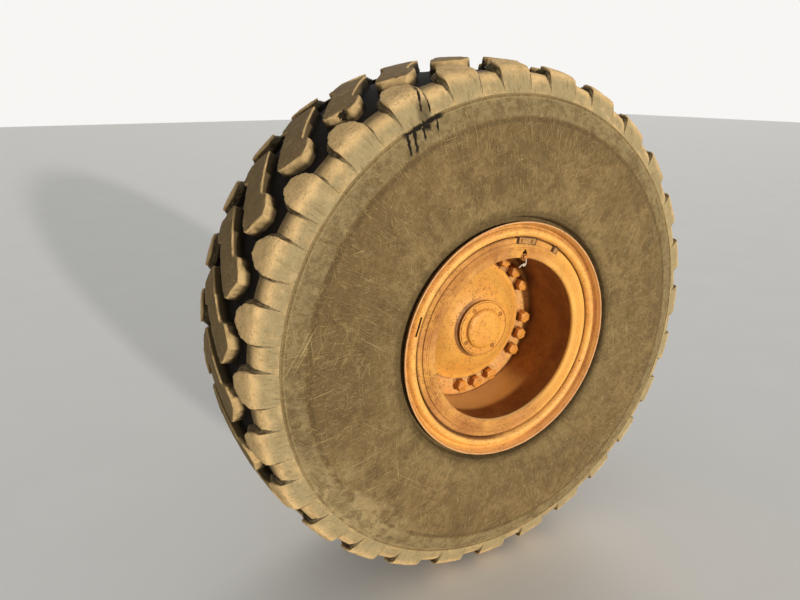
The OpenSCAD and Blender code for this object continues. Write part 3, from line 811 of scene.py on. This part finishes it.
def turned(name, section, closed=True, steps=STEPS, angle=30):
    """Piece turned round the wheel's axis; the section's columns are radius and out."""
    points = [(r, -out, 0) for r, out in section]
    piece = start_point(name, points[0])
    trace(points + points[:1] if closed else points)
    merge_all()
    bpy.ops.mesh.spin(steps=steps, angle=math.tau, center=(0, 0, 0), axis=(0, 1, 0))
    merge_all()
    face_outwards()
    bpy.ops.object.mode_set(mode="OBJECT")
    smooth(angle)
    return piece


def apply_modifier(piece, kind, **settings):
    pick(piece)
    modifier = piece.modifiers.new(kind.lower(), kind)
    for name, value in settings.items():
        setattr(modifier, name, value)
    bpy.ops.object.modifier_apply(modifier=modifier.name)


def uneven(piece, size, depth):
    """Makes a surface uneven, by a noise of a given size and depth."""
    texture = bpy.data.textures.new("uneven", "CLOUDS")
    texture.noise_scale = size
    apply_modifier(piece, "DISPLACE", texture=texture, texture_coords="LOCAL",
                   strength=depth * 2, mid_level=0.5)


def settle(piece):
    """Brings a piece's place, turn and size into its mesh."""
    pick(piece)
    bpy.ops.object.transform_apply(location=True, rotation=True, scale=True)


def join(name, *pieces):
    """Makes one piece of several."""
    pick(*pieces)
    bpy.ops.object.join()
    bpy.context.object.name = name
    return bpy.context.object


def rod(name, radius, start_out, end_out, place=(0, 0), sides=32):
    """Cylinder along the wheel's axis, from one out to another; place is X and Z."""
    deselect()
    bpy.ops.mesh.primitive_cylinder_add(
        vertices=sides, radius=radius, depth=end_out - start_out,
        location=(place[0], -(start_out + end_out) / 2, place[1]), rotation=(math.pi / 2, 0, 0))
    piece = bpy.context.object
    piece.name = name
    settle(piece)
    return piece


def plate(name, height, width, start_out, end_out, radius):
    """Flat block at angle 0: its height along the radius, its width round the wheel."""
    deselect()
    bpy.ops.mesh.primitive_cube_add(size=1, location=(radius, -(start_out + end_out) / 2, 0),
                                    scale=(height, end_out - start_out, width))
    piece = bpy.context.object
    piece.name = name
    settle(piece)
    return piece


def placed(piece, angle):
    """Turns a piece from angle 0 to its angle, in degrees."""
    piece.rotation_euler = (0, -math.radians(angle), 0)
    settle(piece)


def rounded(piece, width, segments=2):
    apply_modifier(piece, "BEVEL", width=width, segments=segments, limit_method="ANGLE",
                   angle_limit=math.radians(35))
    smooth(40)


def cut_away(piece, cutter):
    """Cuts one piece's shape out of another."""
    apply_modifier(piece, "BOOLEAN", operation="DIFFERENCE", object=cutter, solver="EXACT")
    bpy.data.objects.remove(cutter)


def copies_round(piece, angles):
    """Copies a piece from angle 0 to the angles, in degrees, and joins them in one."""
    made = []
    for angle in angles:
        pick(piece)
        bpy.ops.object.duplicate(linked=False)
        copy = bpy.context.object
        placed(copy, angle)
        made.append(copy)
    name = piece.name
    bpy.data.objects.remove(piece)
    return join(name, *made)


def put(piece, body, slot, finish, *stands_for):
    """Gives a finished piece its material and the body that carries it."""
    piece.data.materials.clear()
    piece.data.materials.append(finish)
    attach(piece, body)
    if stands_for:
        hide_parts(*stands_for)


def dress(finish, *names):
    """Gives nodes of the frame their material."""
    for name in names:
        node = nodes[name]
        if not node.material_slots:
            node.data.materials.append(finish)
        for held in node.material_slots:
            held.material = finish


# Tyre

def crown_r(side):
    return TYRE_R - CROWN_DROP * (side / EDGE) ** 2


def side_half(radius):
    """Half width of the tyre at a radius of its sidewall."""
    if radius > BULGE_R:
        rise = (radius - BULGE_R) / (SHOULDER_R - BULGE_R)
        return TYRE_HALF - (TYRE_HALF - SHOULDER_HALF) * rise ** 2.5
    return TYRE_HALF - 0.014 * ((BULGE_R - radius) / (BULGE_R - LIP_R)) ** 2


# Steps of the sidewall's outline, from foot to shoulder, and those that stand up as fine ridges
WALL_STEPS = 26
RIDGES = (20, 23)
RIDGE_HEIGHT = 0.0022


def casing_outline():
    """Half of the tyre's outline, from its foot to the tread: radius and distance from the middle."""
    foot = [(0.3178, 0.2785), (0.3520, 0.2790), (0.3662, 0.2835), (0.3780, 0.2925), (0.3870, 0.3000),
            (0.3957, 0.3002), (0.4035, 0.3006), (0.4062, 0.3060), (0.4088, 0.3180), (0.4112, 0.3250),
            (0.4140, 0.3272), (0.4170, 0.3250), (0.4200, 0.3238), (0.4230, 0.3264), (0.4260, 0.3246)]
    wall = []
    foot_r, top_r = foot[-1][0], SHOULDER_R - 0.006
    for step in range(1, WALL_STEPS + 1):
        radius = foot_r + (top_r - foot_r) * step / WALL_STEPS
        ridge = RIDGE_HEIGHT if step in RIDGES else 0
        wall.append((radius, side_half(radius) + ridge))
    shoulder = [(SHOULDER_R - 0.003, SHOULDER_HALF + 0.0035), (SHOULDER_R + 0.001, SHOULDER_HALF + 0.0035),
                (SHOULDER_R + 0.005, SHOULDER_HALF - 0.0005)]
    edge_r = crown_r(EDGE)
    fill_side = [(SHOULDER_R + 0.018, SHOULDER_HALF - 0.0065), (edge_r - 2.1 * FILL_DROP, EDGE + 0.0125),
                 (edge_r - 1.6 * FILL_DROP, EDGE + 0.006), (edge_r - 1.2 * FILL_DROP, EDGE - 0.003)]
    fill_top = [(crown_r(side) - FILL_DROP, side) for side in (EDGE - 0.010, 0.240, FILL_END + 0.012)]
    step = [(crown_r(FILL_END) - FILL_DROP - 0.003, FILL_END + 0.005)]
    floor = [(crown_r(side) - GROOVE, side) for side in (FILL_END, 0.15, 0.08, 0)]
    return foot + wall + shoulder + fill_side + fill_top + step + floor


def casing_inside():
    tread = [(crown_r(side) - GROOVE - 0.038, side) for side in (0.08, 0.15, 0.205)]
    wall = [(radius, side_half(radius) - 0.030) for radius in (0.742, 0.68, 0.62, 0.56, 0.50, 0.46)]
    return tread + wall + [(0.400, 0.263), (0.3435, 0.196), (0.3155, 0.177), (0.309, 0.1815)]


def make_casing():
    outline = casing_outline()
    inside = casing_inside()
    near = [(radius, TYRE_MID + side) for radius, side in outline]
    far = [(radius, TYRE_MID - side) for radius, side in reversed(outline[:-1])]
    far_inside = [(radius, TYRE_MID - side) for radius, side in reversed(inside)]
    near_inside = [(radius, TYRE_MID + side) for radius, side in inside]
    casing = turned("tyre_casing", near + far + far_inside + near_inside, angle=50)
    uneven(casing, 0.22, 0.0012)
    put(casing, "wheel", "tyre", sidewall_rubber, "tyre")
    casing.data.materials.append(groove_shade_rubber)
    casing.data.materials.append(lug_rubber)
    groove_floor_r = crown_r(FILL_END) - GROOVE - 0.004
    for face in casing.data.polygons:
        middle = face.center
        radius = math.hypot(middle.x, middle.z)
        side = abs(-middle.y - TYRE_MID)
        # Faces of the groove floor take the near-black groove finish, a painted shade.
        if radius > groove_floor_r and side < FILL_END + 0.008:
            face.material_index = 1
        elif radius > SHOULDER_R + 0.010:
            face.material_index = 2


def strip_block(name, outline, push):
    """Closed block on the flat strip: an outline of points, pushed by a vector."""
    piece = start_point(name, outline[0])
    trace(outline + outline[:1])
    merge_all()
    bpy.ops.mesh.edge_face_add()
    bpy.ops.mesh.extrude_region_move(TRANSFORM_OT_translate={"value": push})
    face_outwards()
    return piece


def trim(place, facing):
    """Cuts away what lies on the facing side of a plane, and closes the cut."""
    bpy.ops.mesh.select_all(action="SELECT")
    bpy.ops.mesh.bisect(plane_co=place, plane_no=facing, use_fill=True, clear_outer=True)


def strip_y(side):
    """Y of a place on the strip, from its distance from the tread's middle."""
    return -(TYRE_MID + side)


# Plan of an edge lug's tip: share of its half width and of its length
LUG_PLAN = [(1.0, 0.0), (0.97, 0.25), (0.90, 0.46), (0.71, 0.70), (0.50, 0.87), (0.24, 1.0)]
LUG_HALF = 0.059
LUG_LENGTH = 0.098
LUG_TIP = 0.275
LUG_MARGIN = 0.006
WALL_LEAN = 0.16

# Side view of an edge lug and of the filling beside it: height and distance from the middle
LUG_SIDE = [
    ((0, 0.177), (-0.0240, 0.177)), ((0, 0.235), (-0.0240, 0.235)), ((-0.0010, 0.250), (-0.0240, 0.250)),
    ((-0.0035, 0.2615), (-0.0255, 0.2610)), ((-0.0080, 0.2705), (-0.0288, 0.2700)),
    ((-0.0160, 0.2775), (-0.0340, 0.2755)), ((-0.0300, 0.2835), (-0.0384, 0.2790)),
    ((-0.0500, 0.2903), (-0.0504, 0.2855)), ((-0.0770, 0.2995), (-0.0770, 0.2950))]


def flat_lug(name, sink, wider):
    """Edge lug on the flat strip, or a step beside it that sinks towards the filling by a share.

    Height is along X, Y is across and Z is along the tread.
    """
    side_view = []
    for (height, side), (low_height, low_side) in LUG_SIDE:
        side_view.append((height + (low_height - height) * sink, side + (low_side - side) * sink))
    side_view += [(-0.088, SHOULDER_HALF - 0.006), (-0.060, 0.25),
                  (-0.048, LUG_TIP - LUG_LENGTH - LUG_MARGIN - wider)]
    side_view[0] = (side_view[0][0], side_view[0][1] - wider)
    half = LUG_HALF + wider + LUG_MARGIN
    outline = [(height, strip_y(side), -half) for height, side in side_view]
    lug = strip_block(name, outline, (0, 0, 2 * half))
    for sign in (1, -1):
        plan = []
        for x, y in LUG_PLAN:
            plan.append((sign * (x * LUG_HALF + wider * (0.4 + 0.6 * min(1, 2 * y))),
                         strip_y(LUG_TIP - y * (LUG_LENGTH + wider * 0.8))))
        for (along0, across0), (along1, across1) in zip(plan, plan[1:]):
            run = Vector((0, across1 - across0, along1 - along0))
            facing = Vector((0, -run.z * sign, run.y * sign)).normalized()
            facing.x = -WALL_LEAN if across0 != plan[0][1] else -WALL_LEAN * 0.3
            trim((0, across0, along0), facing)
    bpy.ops.object.mode_set(mode="OBJECT")
    return lug


def make_flat_lug():
    lug = flat_lug("lug", 0, 0)
    apply_modifier(lug, "REMESH", mode="VOXEL", voxel_size=0.0055)
    apply_modifier(lug, "SMOOTH", factor=0.5, iterations=3)
    return lug


BLOCK_WIDTH = 0.134
BLOCK_HALF = 0.155
BLOCK_PLAN = [(-0.03, 0.71), (0.21, 0.89), (0.45, 1.0), (0.96, 0.65), (0.98, 0.52), (-0.03, -0.46)]


def make_flat_block():
    """Stepped middle block on the flat strip."""
    half = [(along * BLOCK_WIDTH, across * BLOCK_HALF) for along, across in BLOCK_PLAN]
    plan = half + [(-along, -across) for along, across in half]
    foot = -GROOVE - 0.008
    block = strip_block("block", [(foot, strip_y(across), along) for along, across in plan], (-foot, 0, 0))
    bpy.ops.mesh.select_mode(type="FACE")
    pick_faces(block, lambda face: face.center.x > -0.001)
    bpy.ops.transform.resize(value=(1, 0.985, 0.955), center_override=(0, strip_y(0), 0))
    bpy.ops.object.mode_set(mode="OBJECT")
    apply_modifier(block, "REMESH", mode="VOXEL", voxel_size=0.0062)
    apply_modifier(block, "SMOOTH", factor=0.5, iterations=1)
    return block


# Steps along a lug's flanks: share of the way down to the filling, and width beyond the lug
LUG_STEPS = [(0.46, 0.0055), (0.66, 0.0110), (0.86, 0.0170)]


def make_flat_steps():
    """Thin steps along both flanks of an edge lug, which run out down its side."""
    made = []
    for sink, wider in LUG_STEPS:
        step = flat_lug("step", sink, wider)
        apply_modifier(step, "BEVEL", width=0.0012, segments=2, limit_method="ANGLE",
                       angle_limit=math.radians(50))
        made.append(step)
    return join("step", *made)


def wrap_round(flat, name, shift, far_side=False):
    """Repeats a flat piece along the strip, lowers it to the crown and bends the strip to a ring."""
    pick(flat)
    bpy.ops.object.duplicate(linked=False)
    ring = bpy.context.object
    ring.name = name
    if far_side:
        ring.scale = (1, -1, 1)
        ring.location = (0, -2 * TYRE_MID, 0)
        settle(ring)
        bpy.ops.object.mode_set(mode="EDIT")
        face_outwards()
        bpy.ops.object.mode_set(mode="OBJECT")
    ring.location = (0, 0, shift * PITCH)
    settle(ring)
    apply_modifier(ring, "ARRAY", count=LUGS, use_relative_offset=False, use_constant_offset=True,
                   constant_offset_displace=(0, 0, PITCH))
    for vertex in ring.data.vertices:
        side = -vertex.co.y - TYRE_MID
        vertex.co.x -= CROWN_DROP * (side / EDGE) ** 2
    bpy.context.view_layer.update()
    apply_modifier(ring, "SIMPLE_DEFORM", deform_method="BEND", deform_axis="Y",
                   angle=-ring.dimensions.z / TYRE_R)
    ring.location = (TYRE_R, 0, 0)
    settle(ring)
    smooth(60)
    return ring


def tear(piece):
    """Pushes the torn places of the tread in."""
    for vertex in piece.data.vertices:
        for place, across, along, depth in TEARS:
            away = vertex.co - Vector(place)
            far = math.hypot(away.y / across, math.hypot(away.x, away.z) / along)
            if far < 1:
                inward = Vector((-vertex.co.x, 0, -vertex.co.z)).normalized()
                vertex.co += inward * depth * (1 - far ** 2)


def make_tread():
    lug = make_flat_lug()
    block = make_flat_block()
    steps = make_flat_steps()
    lug_rings = [wrap_round(lug, "outer_lugs", 0), wrap_round(lug, "inner_lugs", 0.5, True)]
    step_rings = [wrap_round(steps, "outer_lug_steps", 0),
                  wrap_round(steps, "inner_lug_steps", 0.5, True)]
    block_ring = wrap_round(block, "middle_blocks", 0.25)
    for ring in lug_rings + [block_ring]:
        uneven(ring, 0.045, 0.0015)
        uneven(ring, 0.014, 0.0007)
    tear(block_ring)
    put(block_ring, "wheel", "tyre", block_rubber, "tyre")
    for ring in lug_rings:
        put(ring, "wheel", "tyre", lug_rubber, "tyre")
    for ring in step_rings:
        put(ring, "wheel", "tyre", step_shade_rubber, "tyre")
    for flat in (lug, block, steps):
        bpy.data.objects.remove(flat)


# Rim

VALVE_ANGLE = 80.7
VALVE_R = 0.279
SLOT_R = 0.290
SLIT_ANGLE = 161.8
SLIT_R = 0.358
FLANGE_WALL = 0.0098

# Section of the outer flange: height above the seat, and overhang from the tyre's side
FLANGE = [(0.0003, 0.0), (0.034, 0.0), (0.048, 0.0041), (0.0602, 0.0128), (0.0693, 0.0255),
          (0.0735, 0.0365), (0.0757, 0.0418), (0.0757, 0.0450), (0.0730, 0.0456), (0.0708, 0.0445),
          (0.0692, 0.0375), (0.0654, 0.0280), (0.0612, 0.0215), (0.0566, 0.0205), (0.0524, 0.0258),
          (0.0466, 0.0336), (0.0392, 0.0360), (0.0312, 0.0335), (0.0256, 0.0245), (0.0238, 0.0150),
          (0.0236, 0.0096), (0.0010, 0.0098), (0.0003, 0.0090)]


def make_flange():
    heel = TYRE_MID + RIM_HALF
    section = [(SEAT_R + rise, heel + over) for rise, over in FLANGE]
    flange = turned("flange", softened(section, 2), angle=45)
    uneven(flange, 0.03, 0.0006)
    slit = plate("slit", 0.0060, 0.062, heel - 0.004, heel + 0.050, SLIT_R)
    placed(slit, SLIT_ANGLE)
    cut_away(flange, slit)
    smooth(45)
    put(flange, "wheel", "rim_paint", rim_paint, "outer_flange")


def make_rim_base():
    """Rim base with its ribbed mouth, drawn out from the back heel."""
    far = TYRE_MID - RIM_HALF
    inner_r = BASE_R - 0.014
    groove_end = MOUTH_OUT - 0.008
    outside = [(inner_r + 0.006, RIM_BACK), (RING_R - 0.002, far - 0.030), (RING_R + 0.002, far - 0.025),
               (RING_R + 0.002, far - FLANGE_WALL), (SEAT_R, far - FLANGE_WALL), (SEAT_R, far),
               (0.3079, far + 0.110), (BASE_R, far + 0.126), (BASE_R, RING_BACK),
               (BASE_R - 0.004, RING_BACK + 0.0003),
               (BASE_R - 0.004, groove_end), (0.3196, groove_end), (0.3200, groove_end + 0.001),
               (0.3200, MOUTH_OUT - 0.004), (0.3170, MOUTH_OUT - 0.0015)]
    ribs = []
    for middle in (0.3125, 0.3055, 0.2985):
        ribs += [(middle + 0.0026, MOUTH_OUT - 0.0022), (middle + 0.0014, MOUTH_OUT),
                 (middle - 0.0014, MOUTH_OUT), (middle - 0.0026, MOUTH_OUT - 0.0022)]
    inside = [(0.2930, MOUTH_OUT - 0.0010), (0.2850, MOUTH_OUT), (0.2785, MOUTH_OUT - 0.0008),
              (0.2753, MOUTH_OUT - 0.0040), (MOUTH_R, MOUTH_OUT - 0.0130), (0.2775, MOUTH_OUT - 0.0250),
              (inner_r - 0.003, MOUTH_OUT - 0.0550), (inner_r, MOUTH_OUT - 0.0620),
              (inner_r, RIM_BACK + 0.006)]
    base = turned("rim_barrel", softened(outside + ribs + inside, 1), angle=35)
    uneven(base, 0.05, 0.0004)
    slot = rod("slot", 0.0075, MOUTH_OUT - 0.060, MOUTH_OUT + 0.002, (SLOT_R, 0), 4)
    pick(slot)
    bpy.ops.transform.resize(value=(2.13, 1, 1.414), center_override=(SLOT_R, 0, 0))
    settle(slot)
    placed(slot, VALVE_ANGLE)
    cut_away(base, slot)
    smooth(35)
    put(base, "wheel", "rim_paint", barrel_rust, "rim_base")
    base.data.materials.append(ring_rust)
    for face in base.data.polygons:
        if -face.center.y > MOUTH_OUT - 0.012:
            face.material_index = 1


# Keys on the lock ring: angle in degrees and width
KEYS = [(80, 0.066), (58, 0.016)]
KEY_NUT_R = 0.330


def make_keys():
    """Small plates on the lock ring; the wide one is held by two nuts."""
    foot = -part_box("ring_keys")[1].y
    face = foot + 0.006
    made = []
    for angle, width in KEYS:
        key = plate("key", 0.018, width, foot, face, RING_R - 0.0083)
        rounded(key, 0.0020, 3)
        placed(key, angle)
        made.append(key)
        # A dark plate under each key, wider than it: painted shadow round the key.
        dirt_and_shade = plate("key_shadow_plate_%d" % angle, 0.0245, width + 0.013, foot, foot + 0.0012, RING_R - 0.0090)
        rounded(dirt_and_shade, 0.0005)
        placed(dirt_and_shade, angle)
        put(dirt_and_shade, "wheel", "rim_paint", key_shadow_finish)
    for side in (-3.6, 3.6):
        stud = rod("stud", 0.0034, face, face + 0.006, (KEY_NUT_R, 0), 16)
        nut = rod("nut", 0.0070, face, face + 0.0045, (KEY_NUT_R, 0), 6)
        for piece in (stud, nut):
            rounded(piece, 0.0008)
            placed(piece, KEYS[0][0] + side)
            made.append(piece)
    keys = join("lock_ring_keys", *made)
    put(keys, "wheel", "rim_paint", key_rust, "ring_keys")


# Curl of wire that hangs from the valve: X and Z
WIRE_CURL = [(0.046, 0.272), (0.049, 0.262), (0.0465, 0.249), (0.0375, 0.246), (0.0345, 0.254),
             (0.0415, 0.2575), (0.0425, 0.252), (0.032, 0.2545), (0.021, 0.2455)]


def make_valve():
    """Valve stem in the slot of the mouth, with its nut, collar, cap and wire."""
    middle = (VALVE_R, 0)
    end = -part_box("valve")[0].y
    stem = rod("stem", 0.0050, MOUTH_OUT - 0.077, end - 0.008, middle, 24)
    nut = rod("nut", 0.0085, MOUTH_OUT - 0.014, MOUTH_OUT - 0.008, middle, 6)
    rounded(nut, 0.0010)
    cap = rod("valve_stem", 0.0065, end - 0.020, end, middle, 24)
    rounded(cap, 0.0018, 3)
    foot = rod("foot", 0.011, MOUTH_OUT - 0.0775, MOUTH_OUT - 0.0765, middle)
    collar = rod("collar", 0.0112, MOUTH_OUT - 0.012, MOUTH_OUT + 0.0035, middle)
    bore = rod("bore", 0.0090, MOUTH_OUT - 0.020, MOUTH_OUT + 0.010, middle)
    cut_away(collar, bore)
    rounded(collar, 0.0007)
    valve = join("valve_stem", cap, stem, nut, foot, collar)
    placed(valve, VALVE_ANGLE)
    put(valve, "wheel", "bare_steel", bolt_paint, "valve")
    bpy.ops.curve.primitive_nurbs_path_add(location=(0, 0, 0))
    wire = bpy.context.object
    wire.name = "valve_wire"
    line = wire.data.splines[0]
    line.points.add(len(WIRE_CURL) - len(line.points))
    for point, (x, z) in zip(line.points, WIRE_CURL):
        point.co = (x, -(end + 0.0005), z, 1)
    line.use_endpoint_u = True
    wire.data.bevel_depth = 0.0018
    bpy.ops.object.convert(target="MESH")
    bpy.ops.object.shade_smooth()
    put(wire, "wheel", "bare_steel", wire_steel)


def make_disc():
    """Wheel disc with its skirt, and the weld that holds it in the barrel."""
    hub_face = DISC_OUT - 0.022
    section = [(COVER_R + 0.0003, hub_face), (DISC_R - 0.014, hub_face), (WELD_R - 0.0176, SKIRT_OUT),
               (WELD_R - 0.001, SKIRT_OUT), (WELD_R, SKIRT_OUT + 0.001), (WELD_R, DISC_OUT - 0.005),
               (DISC_R + 0.001, DISC_OUT - 0.0006), (DISC_R - 0.001, DISC_OUT), (COVER_R + 0.002, DISC_OUT),
               (COVER_R + 0.0003, DISC_OUT - 0.001)]
    disc = turned("bolted_disc", section, angle=35)
    uneven(disc, 0.04, 0.0003)
    put(disc, "wheel", "rim_paint", disc_paint, "wheel_disc")
    weld_out = DISC_OUT - 0.003
    bead = [(WELD_R + 0.0004, weld_out - 0.003), (WELD_R + 0.0005, weld_out + 0.006),
            (WELD_R - 0.002, weld_out + 0.0045), (WELD_R - 0.0055, weld_out + 0.001),
            (WELD_R - 0.006, weld_out - 0.003)]
    weld = turned("disc_weld", bead, angle=60)
    uneven(weld, 0.006, 0.0010)
    put(weld, "wheel", "rim_paint", barrel_rust)


# Bolts and cover

BOLT_PLACES = 24
BOLT_START = 9
bolt_angles = [BOLT_START + place * 360 / BOLT_PLACES for place in range(BOLT_PLACES) if place % 4 != 0]


def make_wheel_bolts():
    middle = (BOLT_CIRCLE, 0)
    washer = rod("washer", 0.0228, DISC_OUT, DISC_OUT + 0.004, middle)
    rounded(washer, 0.0012)
    head = rod("disc_bolts", 0.0219, DISC_OUT + 0.004, DISC_OUT + 0.034, middle, 6)
    pick(head)
    bpy.ops.object.mode_set(mode="EDIT")
    pick_faces(head, lambda face: face.normal.y < -0.9)
    bpy.ops.mesh.bevel(offset=0.0040, segments=2, affect="EDGES")
    bpy.ops.object.mode_set(mode="OBJECT")
    rounded(head, 0.0014)
    shank = rod("shank", 0.012, DISC_OUT - 0.054, DISC_OUT, middle, 20)
    nut = rod("nut", 0.0205, DISC_OUT - 0.062, DISC_OUT - 0.048, middle, 6)
    rounded(nut, 0.0015)
    bolts = copies_round(join("disc_bolts", head, washer, shank, nut), bolt_angles)
    uneven(bolts, 0.012, 0.0004)
    put(bolts, "wheel", "hub_paint", bolt_paint, "wheel_bolts")


SLOPE_STEPS = 12


def make_cover():
    """Cover with a flat edge and a slightly rounded slope up to the cap."""
    edge_out = DISC_OUT + 0.014
    foot_r, foot_out = COVER_R - 0.014, edge_out + 0.003
    nose_r, nose_out = CAP_R + 0.008, COVER_TOP - 0.003
    section = [(0, COVER_FOOT), (COVER_R, COVER_FOOT), (COVER_R, edge_out - 0.004),
               (COVER_R - 0.0012, edge_out - 0.0012), (COVER_R - 0.004, edge_out), (foot_r, foot_out)]
    for step in range(1, SLOPE_STEPS + 1):
        along = step / SLOPE_STEPS
        rise = along * (1 + 0.4 * along * (1 - along))
        section.append((foot_r + (nose_r - foot_r) * along, foot_out + (nose_out - foot_out) * rise))
    section += [(CAP_R + 0.005, COVER_TOP - 0.0008), (CAP_R + 0.001, COVER_TOP), (0, COVER_TOP)]
    cover = turned("hub_cover", section, closed=False, angle=35)
    uneven(cover, 0.05, 0.0005)
    put(cover, "wheel", "hub_paint", hub_paint, "planetary_cover")


CAP_SCREWS = (30, 120, 210, 300)
SCREW_CIRCLE = 0.080


def make_cap():
    """Small cap: a flat rim with a groove and four socket screws, and a low dome."""
    rim_top = CAP_TOP - DOME_H
    dome_r = 0.071
    section = [(0, COVER_TOP), (CAP_R - 0.0015, COVER_TOP), (CAP_R, COVER_TOP + 0.0015),
               (CAP_R, rim_top - 0.0025), (CAP_R - 0.0008, rim_top - 0.0008), (CAP_R - 0.0025, rim_top),
               (0.0945, rim_top), (0.0935, rim_top - 0.0018), (0.0920, rim_top - 0.0018),
               (0.0910, rim_top), (dome_r + 0.001, rim_top), (dome_r - 0.0005, rim_top + 0.0012)]
    for step in range(1, 11):
        turn = math.radians(90) * step / 10
        section.append((dome_r - 0.001 - 0.022 * (1 - math.cos(turn)),
                        rim_top + 0.0012 + 0.0126 * math.sin(turn)))
    section += [(0.030, rim_top + 0.0146), (0, rim_top + DOME_H)]
    cap = turned("hub_cap", section, closed=False, steps=128, angle=30)
    uneven(cap, 0.03, 0.0005)
    middle = (SCREW_CIRCLE, 0)
    screw = rod("cap_socket_screws", 0.0068, rim_top - 0.003, rim_top + 0.002, middle, 24)
    rounded(screw, 0.0010)
    socket = rod("socket", 0.0036, rim_top - 0.001, rim_top + 0.006, middle, 6)
    cut_away(screw, socket)
    screws = copies_round(screw, CAP_SCREWS)
    hole = rod("hole", 0.0082, rim_top - 0.003, rim_top + 0.006, middle)
    cut_away(cap, copies_round(hole, CAP_SCREWS))
    smooth(30)
    put(cap, "wheel", "hub_paint", cap_paint, "cover_cap")
    put(screws, "wheel", "bare_steel", bolt_paint, "cap_screws")


bpy.context.scene.view_settings.view_transform = "Standard"
make_camera()
make_light()
make_world()
make_floor()

make_casing()
make_tread()
make_flange()
make_rim_base()
make_keys()
make_valve()
make_disc()
make_wheel_bolts()
make_cover()
make_cap()

dress(rim_paint, "inner_flange", "seat_band")
dress(ring_rust, "lock_ring")
dress(dull_steel, "spindle", "brake_pipe", "hub_seal")
dress(barrel_rust, "hub")
dress(brake_steel, "brake_disc")
dress(bolt_steel, "brake_disc_bolts", "arm_bolts", "caliper_bolts")
dress(casting, "axle_arm", "brake_bracket", "calipers")
